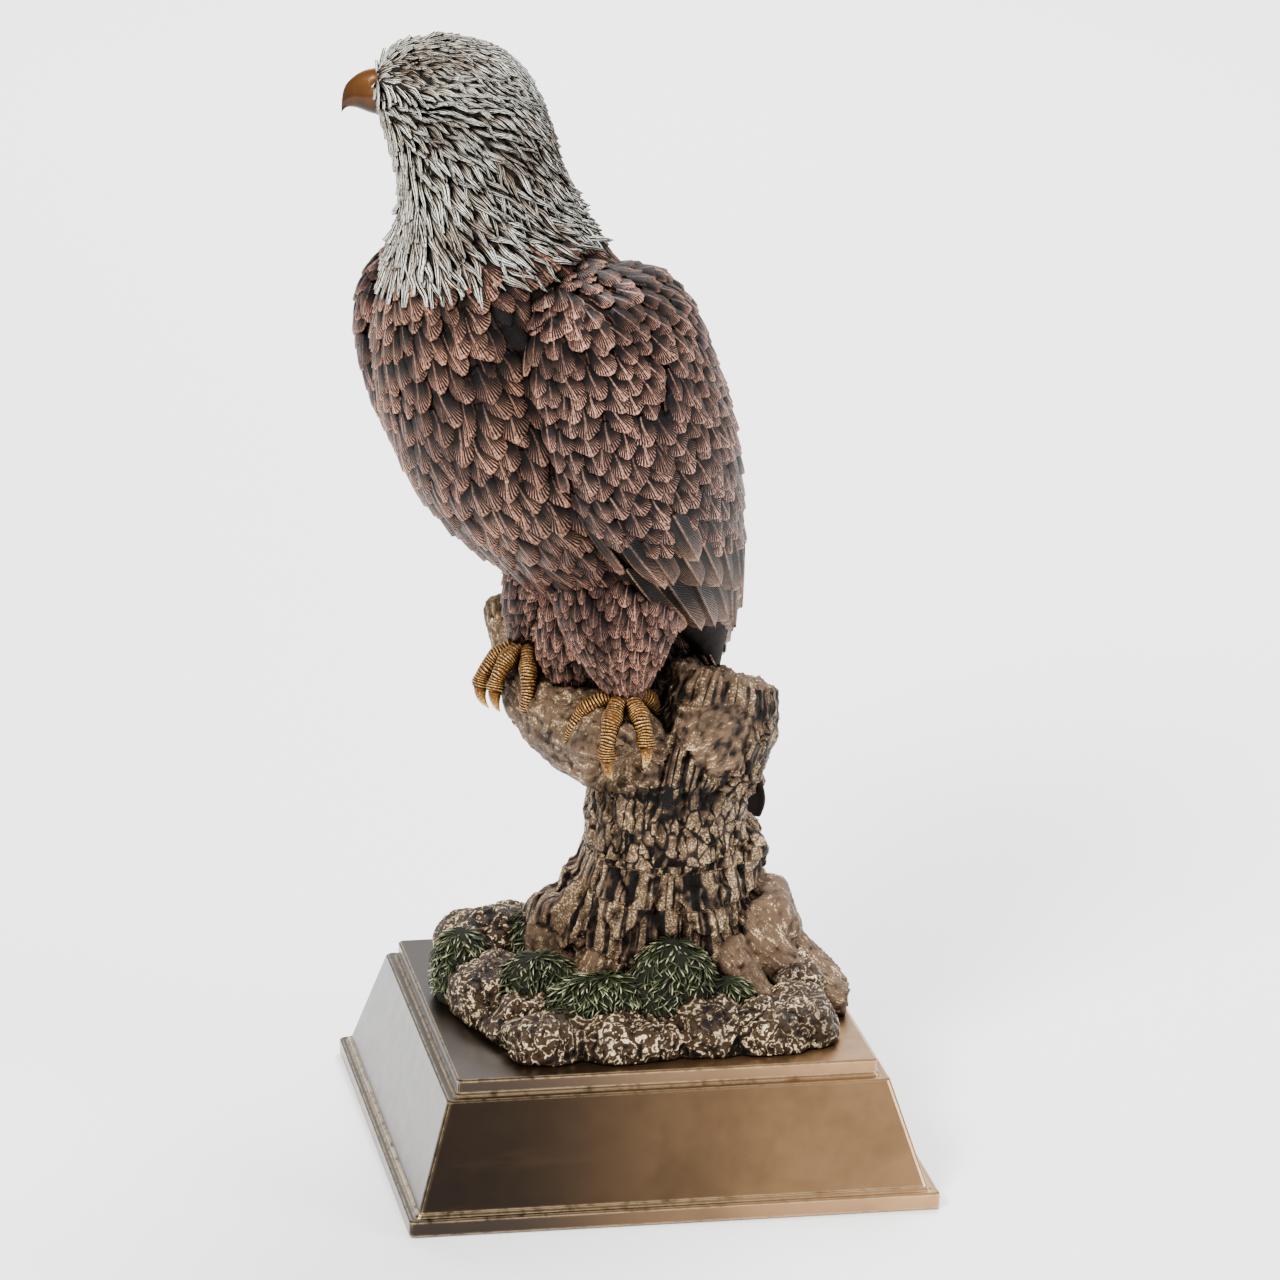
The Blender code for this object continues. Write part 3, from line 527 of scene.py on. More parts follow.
def plumage(name, dark, mid, light, stain, barbs, pattern, brush, metallic=0.3):
    """Feather paint: barbs that fan from the root, run with a lock or slant off a shaft.

    A dark wash lies between the barbs, and painted shade darkens each feather where the feather above
    covers it; the light colour is brushed over crests and rims, more on some feathers than on others.
    """
    made, tree, shader = new_material(name)
    u, v, breadth = parts_of(tree, "vane")
    tone = parts_of(tree, "lean")[2]
    fine = grain(tree, 900, 3, rough=0.7)
    away = calc(tree, "ABSOLUTE", u)
    if pattern == "fan":
        run = calc(tree, "MAXIMUM", calc(tree, "MULTIPLY", calc(tree, "SUBTRACT", v, 0.10), 2.8), 0.1)
        phase = calc(tree, "ARCTAN2", breadth, run)
    elif pattern == "lock":
        phase = u
    else:
        phase = calc(tree, "SUBTRACT", v, calc(tree, "MULTIPLY", calc(tree, "ABSOLUTE", breadth), 0.16))
    wobble = calc(tree, "MULTIPLY", grain(tree, 240, 2), 3.0)
    wobble = calc(tree, "ADD", wobble, calc(tree, "MULTIPLY", tone, 6.0))
    wave = calc(tree, "SINE", calc(tree, "ADD", calc(tree, "MULTIPLY", phase, barbs), wobble))
    ridge = calc(tree, "ADD", calc(tree, "MULTIPLY", wave, 0.5), 0.5)
    shaft = fade(tree, away, 0.11, 0.03)
    rim = calc(tree, "MAXIMUM", fade(tree, away, 0.80, 0.97), fade(tree, v, 0.86, 0.97))
    height = calc(tree, "ADD", ridge, calc(tree, "MULTIPLY", shaft, 0.0 if pattern == "lock" else 0.9))
    height = calc(tree, "ADD", height, calc(tree, "MULTIPLY", rim, 0.4))
    height = calc(tree, "ADD", height, calc(tree, "MULTIPLY", fine, 0.6))
    cloud = grain(tree, 34, 3)
    body = blend_colour(tree, fade(tree, cloud, 0.50, 0.66), linear(mid), linear(stain))
    colour = blend_colour(tree, fade(tree, ridge, 0.15, 0.75), linear(dark), body)
    # Painted shade: each feather is darker towards its root, where the feather above covers it, and is
    # brushed light only on its outer part.
    reach = (0.05, 0.30) if pattern == "lock" else (0.22, 0.66)
    colour = blend_colour(tree, fade(tree, v, *reach), linear(dark), colour)
    # Painted shade: a feather whose tone is cut near nought, in the groove by a wing, is painted dark and
    # left unbrushed.
    colour = blend_colour(tree, fade(tree, tone, 0.0, 0.12, 0.15, 1.0), linear(dark), colour)
    bright = fade(tree, v, *((0.20, 0.62) if pattern == "lock" else (0.42, 0.92)))
    crest = (0.35, 0.85) if pattern == "lock" else (0.50, 0.95)
    shine = calc(tree, "MULTIPLY", fade(tree, ridge, *crest), bright)
    shine = calc(tree, "ADD", calc(tree, "MULTIPLY", shine, 0.75), calc(tree, "MULTIPLY", rim, 0.45))
    if pattern != "lock":
        shine = calc(tree, "ADD", shine, calc(tree, "MULTIPLY", shaft, 0.45))
    shine = calc(tree, "MULTIPLY", shine, fade(tree, fine, 0.32, 0.60))
    least = 0.30 if pattern == "lock" else 0.50
    shine = calc(tree, "MULTIPLY", shine, fade(tree, cloud, 0.64, 0.40, least, 1.2))
    often = fade(tree, tone, 0.0, 1.0, brush * 0.45, brush * 1.35)
    often = calc(tree, "MULTIPLY", often, fade(tree, tone, 0.0, 0.10))
    colour = blend_colour(tree, calc(tree, "MULTIPLY", shine, often, clamp=True), colour, linear(light))
    rough = fade(tree, ridge, 0.0, 1.0, 0.60, 0.36)
    wash_shade_and_finish(tree, shader, colour, height, linear(dark), rough, 0.55, 0.0035, (0.40, 0.92))
    shader.inputs["Metallic"].default_value = metallic
    return made


def painted_shade_ground(name, colour):
    """Painted shade for the unlit ground under feathers and moss: matt dark paint, a little mottled."""
    made, tree, shader = new_material(name)
    tint = blend_colour(tree, fade(tree, grain(tree, 300, 3), 0.3, 0.7), linear(colour), linear("#1d1713"))
    join_up(tree, shader, {"Base Color": tint, "Roughness": 0.85, "Specular IOR Level": 0.1})
    return made


def finish_piece(obj):
    """The piece rides on the casting and stands for its solid."""
    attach(obj, "root")
    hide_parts("eagle_on_stump")
    return obj


def stepped(*pairs):
    """A function of place that runs through (place, value) pairs."""
    places, values = zip(*pairs)
    return lambda a: float(np.interp(a, places, values))


def back_from_beak(growth):
    """Turns the hackles of the head to stream back from the beak, and down by the neck."""
    centre = between(BODY_RINGS, 3.0)
    front, left = ring_axes(centre[3], np.float64(0.0))
    c, s = math.cos(BIRD_HEADING), math.sin(BIRD_HEADING)
    ahead = np.array((front[0] * c - front[1] * s, front[0] * s + front[1] * c, 0.0))
    height = growth["root"][:, 2] - PERCH[2]
    back = np.clip((height - 0.262) / 0.045, 0, 1)[:, None]
    facing = np.clip(np.sum(growth["out"] * ahead, axis=1), 0, 1)[:, None]
    stream = -ahead * back * 1.5 + growth["way"] * (1 - 0.6 * back) + np.array((0, 0, 0.5)) * back * facing
    flat = stream - growth["out"] * np.sum(stream * growth["out"], axis=1)[:, None]
    growth["way"] = unit(flat)
    return growth


head_rows = rows_down(body_at, -0.92, 6.85, stepped((0, 0.0036), (2, 0.0040), (4, 0.0050), (7, 0.0062)))
hackle_width = stepped((0, 0.0034), (3, 0.0038), (5, 0.0050), (7, 0.0060))
hackle_length = stepped((0, 0.0090), (3, 0.0135), (5, 0.0190), (7, 0.0210))
hackle_tilt = stepped((0, 0.15), (4, 0.17), (7, 0.17))
hackles = coat(body_at, head_rows, hackle_width, hackle_length, hackle_tilt, 11, pack=0.82)
hackles["size"][:, 2] *= 1.9
hackles = back_from_beak(hackles)
head_row = between(BODY_RINGS, 2.75)
head_front, head_left = ring_axes(np.float64(HEAD_YAW), np.float64(0.0))
head_up = np.array((0.0, 0.0, 1.0))
between_eyes = head_row[:3] + head_front * 0.0225
EYES = {side: of_bird(between_eyes + head_left * (side * 0.0200) + head_up * 0.0050) for side in (1, -1)}
for spot in EYES.values():
    reached = np.sum((spot - hackles["root"]) * hackles["way"], axis=1)
    reached = np.clip(reached, 0, hackles["size"][:, 1] * 0.85)
    nearest = hackles["root"] + hackles["way"] * reached[:, None]
    clear = np.linalg.norm(nearest - spot, axis=1) > 0.0046
    hackles = {key: values[clear] for key, values in hackles.items()}
head = loft("head_and_neck", body_at, -0.9, 8.2, 60, 72)
# Silver-white paint dry brushed over brown: the crests of the locks are nearly white, the
# hollows between them almost black in dark wash and painted shade.
silver = plumage("silvered_hackles", "#060504", "#93836f", "#fffff2", "#68472f", 11.0, "lock", 2.2, 0.0)
# The core shows between the hackles in dark painted shade.
give(head, painted_shade_ground("head_wash", "#0f0c0a"))
grow(head, hackles, silver, 5, 6, root=0.60, blunt=2.2, shaft=0.3, wave=0.13, lean=0.26, sharp=1.0)
finish_piece(head)

# Breast, back and belly
# The trunk of the casting under broad round feathers, copper brown over dark painted shade.
# The feathers stop where the folded wings cover them.


def outside_wings(along, turn):
    """True where no wing lies over the trunk."""
    away = np.abs((turn + math.pi) % (2 * math.pi) - math.pi)
    return ~((away > 1.15) & (away < 2.55) & (along > 8.1) & (along < 12.4))


breast_rows = rows_down(body_at, 6.55, 14.2, stepped((6.5, 0.0068), (10, 0.0076), (14, 0.0070)))
breast_width = stepped((6.5, 0.0130), (10, 0.0165), (14, 0.0125))
breast_length = stepped((6.5, 0.0165), (10, 0.0205), (14, 0.0175))
breast_tilt = stepped((6.5, 0.10), (14, 0.13))
breast_coat = coat(
    body_at, breast_rows, breast_width, breast_length, breast_tilt, 12, keep=outside_wings, pack=0.80,
)
GROOVE_REACH = 0.009
for side in (1, -1):
    # Feathers near the groove where a wing meets the breast get painted shade: their tone is cut towards
    # nought, which paints them dark.
    groove = body_at(np.linspace(7.6, 12.0, 60), np.full(60, side * 1.16))
    middles = breast_coat["root"] + breast_coat["way"] * 0.006
    gap = np.min(np.linalg.norm(middles[:, None] - groove[None], axis=2), axis=1)
    breast_coat["lean"][:, 2] *= np.clip((gap - GROOVE_REACH * 0.5) / (GROOVE_REACH * 0.8), 0, 1)
breast = loft("breast_and_back", body_at, 6.4, 14.0, 60, 72)
# Copper-brown paint with a dull metallic sheen: dark wash and painted shade, body, brushed and stained
# colours.
COPPER = "#050303", "#35231a", "#cf957a", "#261a16"
copper = plumage("copper_feathers", *COPPER, 72.0, "fan", 1.0)
# The core shows between the feathers in dark painted shade.
give(breast, painted_shade_ground("breast_wash", "#0a0706"))
grow(breast, breast_coat, copper, 6, 6, root=0.62, blunt=3.6, shaft=0.55, wave=0.05, lean=0.20)
finish_piece(breast)

# Wings
# Two folded wings cast against the flanks: small fan-shaped coverts over the shoulder and
# back, then long vaned quills laid along the lower edge towards the tail.

WING_THICKNESS = 0.0180
# From shoulder to tip: middle forward and up, pitch, radius to the front and to the side, the
# angles where the wing starts and ends round the body, and its share of the thickness.
WING_RINGS = (
    (0.038, 0.2160, -20, 0.050, 0.071, 58, 112, 0.55),
    (0.036, 0.2050, -20, 0.063, 0.087, 50, 136, 0.95),
    (0.028, 0.1820, -23, 0.073, 0.097, 47, 155, 1.00),
    (0.015, 0.1500, -26, 0.075, 0.099, 46, 165, 1.00),
    (-0.002, 0.1180, -27, 0.073, 0.094, 48, 170, 0.95),
    (-0.020, 0.0880, -28, 0.065, 0.082, 53, 173, 0.80),
    (-0.037, 0.0600, -28, 0.055, 0.067, 60, 175, 0.65),
    (-0.053, 0.0350, -28, 0.044, 0.050, 70, 176, 0.50),
    (-0.069, 0.0100, -28, 0.030, 0.034, 82, 176, 0.40),
    (-0.082, -0.0130, -28, 0.017, 0.018, 98, 172, 0.30),
)


def wing_at(side):
    """The outer face of a wing, 1 the left and -1 the right: along to its tip, across from -1 to 1."""

    def at(along, chord, lift=0.0):
        row = between(WING_RINGS, along)
        front, left = ring_axes(np.zeros_like(row[..., 2]), row[..., 2])
        a = np.radians(row[..., 5] + (row[..., 6] - row[..., 5]) * (chord + 1) / 2)
        rounding = (1 - np.minimum(np.abs(chord), 0.999) ** 3) ** (1 / 3)
        inward = np.clip(-along, 0, 1)
        reach = lift * (1 - inward) - WING_THICKNESS * row[..., 7] * (1 - rounding) - 0.026 * inward
        out = front * (np.cos(a) * (row[..., 3] + reach))[..., None]
        out = out + left * (np.sin(a) * (row[..., 4] + reach))[..., None]
        up = row[..., 1] + out[..., 2] + lift * inward + 0.004 * np.sqrt(inward)
        return of_bird(np.stack((row[..., 0] + out[..., 0], side * out[..., 1], up), -1))

    return at


def wing_core(name, surface):
    """The closed shell under a wing's feathers."""
    rings = []
    for along in np.linspace(0.0, len(WING_RINGS) - 1.0, 46):
        share = between(WING_RINGS, along)[7]
        outer = surface(np.full(33, along), np.linspace(-1, 1, 33), -0.0006)
        inner = surface(np.full(9, along), np.linspace(0.9, -0.9, 9), -WING_THICKNESS * share)
        rings.append(np.concatenate((outer, inner)))
    return skin(name, rings)


# Darker bronze paint on the quills, where only the shaft and the rim catch the brush, and
# redder copper on the small coverts.
quill_paint = plumage("bronze_quills", "#060403", "#2b1e18", "#cfa084", "#211714", 230.0, "quill", 0.8)
copper_coverts = plumage("copper_coverts", "#050303", "#35241c", "#dca28a", "#271b18", 80.0, "fan", 1.0)


def quill_row(surface, rng, along, chord, half, reach, rise, proud):
    """Long feathers laid one by one, each standing proud of the shell by its own amount."""
    count = len(along)
    row = settle(surface, along, chord, *(np.broadcast_to(v, count) for v in (half, reach, rise)), rng)
    row["root"] = row["root"] + row["out"] * np.broadcast_to(proud, count)[:, None]
    return row


def wing(side, name, seed):
    """A wing: its shell, coverts and quills."""
    surface = wing_at(side)
    rng = np.random.default_rng(seed)
    places = rows_down(surface, -0.95, 8.2, stepped((0, 0.0060), (3, 0.0068), (8, 0.0074)), -0.9, 0.9)
    quill_edge = stepped((4.0, -1.0), (4.4, -0.66), (5.0, -0.36), (5.8, -0.02), (7.2, 0.34), (8.4, 0.6))

    def over_quills(along, chord):
        return chord > np.array([quill_edge(a) for a in along])

    width = stepped((0, 0.0116), (3, 0.0146), (8, 0.0130))
    length = stepped((0, 0.0135), (3, 0.0158), (8, 0.0165))
    tilt = stepped((0, 0.10), (8, 0.12))
    coverts = coat(surface, places, width, length, tilt, seed, -0.985, 0.985, over_quills, 0.76)
    coverts["root"] = coverts["root"] + coverts["out"] * 0.0012
    n = np.arange(9)
    long = quill_row(surface, rng, 4.9 + 0.24 * n, -0.93 + 0.17 * n, 0.0082, 0.070 - 0.002 * n, 0.01, 0.0)
    n = np.arange(7)
    places, chords = 4.35 + 0.30 * n, -0.72 + 0.15 * n
    short = quill_row(surface, rng, places, chords, 0.0086, 0.040 + 0.002 * n, 0.03, 0.0011)
    top = quill_row(
        surface, rng, np.array((3.75, 4.15, 4.1)), np.array((-0.97, -0.80, -0.50)), (0.0058, 0.0078, 0.0082),
        (0.047, 0.047, 0.040), (0.03, 0.03, 0.04), (0.0008, 0.0018, 0.0026),
    )
    top["lean"][:, 2] = (0.55, 0.75, 1.0)
    core = wing_core(name, surface)
    # The shell shows between the feathers in dark painted shade.
    give(core, painted_shade_ground(name + "_wash", "#0a0706"))
    quills = joined((short, long, top))
    grow(core, quills, quill_paint, 9, 22, root=0.8, blunt=4.6, shaft=1.0, lean=0.03)
    grow(core, coverts, copper_coverts, 6, 6, root=0.55, blunt=4.8, shaft=0.45, wave=0.04, lean=0.18)
    return finish_piece(core)


wing(1, "left_wing", 21)
wing(-1, "right_wing", 22)

# Thighs
# Feathered thighs that narrow to the ankle, with smaller feathers than the breast.

# From hip to ankle: middle forward, left and up, half length and half width.
LEG_RINGS = (
    (-0.034, 0.016, 0.105, 0.036, 0.032),
    (-0.024, 0.017, 0.075, 0.037, 0.033),
    (-0.012, 0.021, 0.046, 0.033, 0.030),
    (-0.005, 0.029, 0.024, 0.024, 0.0225),
    (0.001, 0.040, 0.004, 0.0090, 0.0090),
)
VENT_RINGS = (
    (-0.030, 0.000, 0.072, 0.034, 0.034),
    (-0.020, 0.001, 0.044, 0.028, 0.028),
    (-0.013, 0.002, 0.018, 0.022, 0.022),
    (-0.011, 0.002, -0.004, 0.013, 0.013),
)
TOE_RADIUS = 0.0042
# Each toe points at an angle from straight ahead and has its own share of the full length.
LEFT_ANKLE = (-0.0035, 0.0455, 0.0030)
LEFT_TOES = ((-35, 1.00), (31, 1.00), (76, 0.85), (188, 0.90))
RIGHT_ANKLE = (-0.0040, -0.0285, 0.0120)
RIGHT_TOES = ((-24, 0.88), (8, 0.85), (50, 1.05), (176, 0.90))


def tuft_at(table, side, shift):
    """A thigh or the belly between: along from hip to ankle, turn round it."""

    def at(along, turn, lift=0.0):
        row = between(table, along)
        forward = row[..., 0] + shift[0] + np.cos(turn) * (row[..., 3] + lift)
        left = side * (row[..., 1] + np.sin(turn) * (row[..., 4] + lift)) + shift[1]
        return of_bird(np.stack((forward, left, row[..., 2] + shift[2] + 0 * turn), -1))

    return at


def tuft(name, table, side, shift, seed):
    """A feathered piece along its rings, in small broad feathers."""
    surface = tuft_at(table, side, shift)
    last = len(table) - 1
    places = rows_down(surface, 0.5, last - 0.06, stepped((0, 0.0072), (last, 0.0048)))
    width, length = stepped((0, 0.0112), (last, 0.0072)), stepped((0, 0.0150), (last, 0.0100))
    small = coat(surface, places, width, length, stepped((0, 0.10), (last, 0.12)), seed, pack=0.80)
    made = loft(name, surface, 0.2, last, 24, 32)
    # The core shows between the feathers in dark painted shade.
    give(made, painted_shade_ground(name + "_wash", "#0a0706"))
    grow(made, small, copper_coverts, 5, 6, root=0.6, blunt=4.2, shaft=0.4, wave=0.03, lean=0.12)
    return finish_piece(made)


def over_ankle(side, ankle):
    """How far a thigh moves so that it ends on its ankle."""
    return ankle[0] - LEG_RINGS[-1][0], ankle[1] - side * LEG_RINGS[-1][1], ankle[2]


tuft("left_thigh", LEG_RINGS, 1, over_ankle(1, LEFT_ANKLE), 31)
tuft("right_thigh", LEG_RINGS, -1, over_ankle(-1, RIGHT_ANKLE), 32)
tuft("vent", VENT_RINGS, 1, (0.0, 0.0, 0.0), 33)

# Tail
# The closed tail hangs behind the stump: seven long vaned feathers over a flat core.

TAIL_THICKNESS = 0.0070
# From root to tip: middle forward and up, and half width.
TAIL_RINGS = (
    (-0.050, 0.046, 0.024),
    (-0.072, 0.004, 0.028),
    (-0.092, -0.038, 0.031),
    (-0.106, -0.070, 0.032),
    (-0.114, -0.088, 0.020),
)


def tail_at(face):
    """A face of the tail, 1 the upper: along from root to tip, across from -1 to 1."""

    def at(along, across, lift=0.0):
        row = between(TAIL_RINGS, along)
        step = between(TAIL_RINGS, along + 0.2) - between(TAIL_RINGS, along - 0.2)
        way = unit(step[..., :2])
        off = face * (TAIL_THICKNESS / 2 * (1.0 - 0.5 * across**2) + lift)
        forward, up = row[..., 0] + way[..., 1] * off, row[..., 1] - way[..., 0] * off
        return of_bird(np.stack((forward, across * row[..., 2], up), -1))

    return at


upper, lower = tail_at(1), tail_at(-1)
flat = np.linspace(-1, 1, 19)
tail = skin("tail", [
    np.concatenate((upper(np.full(19, a), flat, -0.001), lower(np.full(19, a), flat[::-1], -0.001)))
    for a in np.linspace(0, 3.9, 30)
])
# The core shows between the vanes in painted shade.
give(tail, painted_shade_ground("tail_wash", "#211814"))
rng = np.random.default_rng(41)
vanes = []
for surface in (upper, lower):
    for start, length, count in ((0.35, 0.115, 7), (0.05, 0.070, 6)):
        across = np.linspace(-0.82, 0.82, count)
        vanes.append(quill_row(surface, rng, np.full(count, start), across, 0.0072, length, 0.01, 0.0))
grow(tail, joined(vanes), quill_paint, 9, 26, root=0.8, blunt=6.0, shaft=0.9, lean=0.02)
finish_piece(tail)

# Beak
# The hooked beak with its cere and gape, in smooth gold-brown lacquer.

BEAK_LENGTH = 0.0250
BEAK_HEIGHT = 0.0230
BEAK_WIDTH = 0.0150


def horn():
    """Gold-brown lacquer, lighter along the top and in the cere's band, dark to the tip and below."""
    made, tree, shader = new_material("gold_brown_horn")
    place = add(tree, "ShaderNodeTexCoord").outputs["Object"]
    ahead = of_bird(head_front) - PERCH
    start = of_bird(beak_root)
    away = add(tree, "ShaderNodeVectorMath", {0: place, 1: tuple(start)}, operation="SUBTRACT").outputs[0]
    run = add(tree, "ShaderNodeVectorMath", {0: away, 1: tuple(ahead)}, operation="DOT_PRODUCT")
    run = run.outputs["Value"]
    rise = add(tree, "ShaderNodeSeparateXYZ", {0: away}).outputs[2]
    streak = grain(tree, 260, 3, (1.0, 1.0, 0.25))
    level = calc(tree, "ADD", rise, calc(tree, "MULTIPLY", calc(tree, "SUBTRACT", streak, 0.5), 0.008))
    colour = blend_colour(tree, fade(tree, level, -0.011, 0.010), linear("#120902"), linear("#51300c"))
    colour = blend_colour(tree, fade(tree, run, 0.010, 0.026, 0.0, 0.45), colour, linear("#341d0a"))
    band = calc(tree, "MULTIPLY", fade(tree, run, 0.0035, 0.0048), fade(tree, run, 0.0070, 0.0056))
    colour = blend_colour(tree, calc(tree, "MULTIPLY", band, 0.6), colour, linear("#99661f"))
    fine = grain(tree, 1300, 3)
    wash_shade_and_finish(tree, shader, colour, fine, linear("#150c05"), 0.30, 0.06, 0.003)
    join_up(tree, shader, {"Metallic": 0.35, "Coat Weight": 0.1})
    return made


beak_root = head_row[:3] + head_front * (head_row[5] - 0.006)
# From root to hook: shares of the beak's length, of its height downwards, and of its height and
# width.
profile = (
    (-0.25, 0.00, 1.00, 1.02), (0.06, 0.01, 1.04, 1.06), (0.20, 0.01, 1.05, 1.02),
    (0.24, 0.00, 1.00, 0.95), (0.40, 0.00, 0.94, 0.90), (0.55, 0.00, 0.84, 0.80),
    (0.70, -0.02, 0.70, 0.66), (0.82, -0.07, 0.58, 0.54), (0.90, -0.13, 0.50, 0.44),
    (0.955, -0.22, 0.42, 0.33), (0.985, -0.34, 0.28, 0.20), (0.99, -0.46, 0.10, 0.08),
)
rings = []
for share, drop, tall, wide in between(profile, np.linspace(0, len(profile) - 1, 44)):
    middle = beak_root + head_front * (share * BEAK_LENGTH) + head_up * (drop * BEAK_HEIGHT + 0.0022)
    turns = np.linspace(0, 2 * math.pi, 32, endpoint=False)
    keel = 1 - 0.16 * np.abs(np.sin(turns)) * (np.cos(turns) > 0) * min(1, max(0, share) * 2)
    gape = 1 - 0.10 * np.exp(-(((np.cos(turns) + 0.45) / 0.12) ** 2)) * (share < 0.8)
    nostril = np.exp(-((share - 0.33) / 0.05) ** 2) * np.exp(-(((np.cos(turns) - 0.35) / 0.16) ** 2))
    nostril = 1 - 0.16 * nostril
    rings.append(of_bird(
        middle
        + head_left * (np.sin(turns) * BEAK_WIDTH / 2 * wide * keel * gape * nostril)[:, None]
        + head_up * (np.cos(turns) * BEAK_HEIGHT / 2 * tall)[:, None]
    ))
beak = skin("beak", rings)
give(beak, horn())
finish_piece(beak)

# Eyes
# A glossy amber ball in each socket, under the heavy brow of the skull.

EYE_RADIUS = 0.0038


def tube(name, points, radii, sides):
    """A tube along a line, its rings carried along without twisting."""
    points = np.asarray(points, float)
    aside, rings = None, []
    for i, point in enumerate(points):
        along = Vector(points[min(i + 1, len(points) - 1)] - points[max(i - 1, 0)]).normalized()
        if aside is None:
            aside = along.cross(Vector((0, 0, 1)))
            aside = aside if aside.length > 0.1 else along.cross(Vector((1, 0, 0)))
        aside = (aside - along * aside.dot(along)).normalized()
        over = np.array(aside.cross(along))
        turns = np.linspace(0, 2 * math.pi, sides, endpoint=False)
        ring = np.cos(turns)[:, None] * np.array(aside) + np.sin(turns)[:, None] * over
        radius = radii(i / (len(points) - 1), turns) if callable(radii) else radii[i]
        rings.append(point + ring * np.broadcast_to(radius, (sides,))[:, None])
    return skin(name, rings)


def eye_material():
    """Amber iris round a black pupil, under clear lacquer."""
    made, tree, shader = new_material("amber_eye")
    place = add(tree, "ShaderNodeAttribute", attribute_name="from_pupil").outputs["Fac"]
    iris = blend_colour(tree, fade(tree, grain(tree, 900, 2), 0.3, 0.7), linear("#3a210a"), linear("#6e440f"))
    colour = blend_colour(tree, fade(tree, place, 0.42, 0.50), linear("#050403"), iris)
    join_up(tree, shader, {"Base Color": colour, "Roughness": 0.12, "Coat Weight": 1.0, "IOR": 1.5})
    return made


amber = eye_material()
for name, side in (("left_eye", 1), ("right_eye", -1)):
    ball = bmesh.new()
    bmesh.ops.create_icosphere(ball, subdivisions=4, radius=EYE_RADIUS)
    bmesh.ops.translate(ball, verts=ball.verts, vec=EYES[side])
    mesh = bpy.data.meshes.new(name)
    ball.to_mesh(mesh)
    ball.free()
    eye = placed(name, mesh)
    looks = of_bird(unit(head_front * 0.72 + head_left * side * 0.69)) - PERCH
    places = np.array([tuple(v.co) for v in mesh.vertices]) - EYES[side]
    note(mesh, "from_pupil", np.arccos(np.clip(unit(places) @ looks, -1, 1)))
    give(eye, amber)
    finish_piece(eye)

# Feet
# Gold toes ringed with scutes that grip the limb, each ending in a smooth curved talon.

TALON_LENGTH = 0.0150
LIMB_RADIUS = 0.0225
SCUTE_LENGTH = 0.0013


def scuted(base, taper, length, knuckles):
    """Radius and tone down a toe: overlapping scutes, with swellings at the knuckles."""

    def at(share, turns):
        uneven = 0.30 * np.sin(share * 17 + base * 9000) + 0.22 * np.sin(2 * turns + share * 23)
        scale = (share * length / SCUTE_LENGTH + 0.25 * np.cos(turns) + uneven) % 1.0
        groove = np.exp(-((scale - 0.97) / 0.10) ** 2) + np.exp(-((scale + 0.03) / 0.10) ** 2)
        knuckle = 0.24 * np.exp(-((share - 0.48) / 0.09) ** 2) + 0.30 * np.exp(-((share - 0.95) / 0.08) ** 2)
        radius = base * (1 - taper * share) * (1 + knuckles * knuckle + 0.07 * (1 - scale) - 0.10 * groove)
        return radius, 0.95 - 1.0 * groove - 0.60 * scale * (scale < 0.93)

    return at


def scuted_tube(points, form, sides=18):
    """A toe or shank and its tones, point by point."""
    count = len(points)
    turns = np.linspace(0, 2 * math.pi, sides, endpoint=False)
    rows = [form(k / (count - 1), turns) for k in range(count)]
    made = tube("toe", points, lambda share, _: rows[round(share * (count - 1))][0], sides)
    tones = np.concatenate([np.broadcast_to(row[1], (sides,)) for row in rows])
    return made, np.concatenate((tones, (0.8, 0.8)))


def foot(name, ankle, toes):
    """A shank and four toes as one piece."""
    ankle = np.array(ankle)
    shank = np.linspace((0, 0, 0.018), (0, 0, -0.006), 60)
    parts = [scuted_tube(of_bird(ankle + shank), scuted(TOE_RADIUS * 1.45, -0.12, 0.024, 0.0))]
    for angle, reach in toes:
        way = np.array((math.cos(math.radians(angle)), math.sin(math.radians(angle)), 0.0))
        bends = np.radians(95) * reach * np.linspace(0, 1, 150)
        out, down = LIMB_RADIUS * 1.12 * np.sin(bends), LIMB_RADIUS * (1 - np.cos(bends))
        line = ankle + way * out[:, None] - head_up * down[:, None]
        parts.append(scuted_tube(of_bird(line), scuted(TOE_RADIUS * 1.10, 0.24, 0.038 * reach, 1.0)))
        point, claw = line[-1], []
        for j in range(16):
            claw.append(point)
            turn = bends[-1] + math.radians(56) * j / 15
            point = point + (way * math.cos(turn) - head_up * math.sin(turn)) * (TALON_LENGTH * reach / 15)
        radii = [TOE_RADIUS * 0.84 * (1 - (j / 15) ** 1.3 * 0.94) for j in range(16)]
        tones = np.append(np.repeat(np.linspace(0.55, 1.0, 16), 16), (0.5, 1.0))
        parts.append((tube("talon", of_bird(np.array(claw)), radii, 16), tones))
    whole = merge(name, [made for made, _ in parts])
    note(whole.data, "tone", np.concatenate([tones for _, tones in parts]))
    give(whole, gold)
    return finish_piece(whole)


def merge(name, parts):
    """Several objects as one mesh."""
    work = bmesh.new()
    for part in parts:
        work.from_mesh(part.data)
        bpy.data.objects.remove(part, do_unlink=True)
    mesh = bpy.data.meshes.new(name)
    work.to_mesh(mesh)
    work.free()
    return placed(name, mesh)


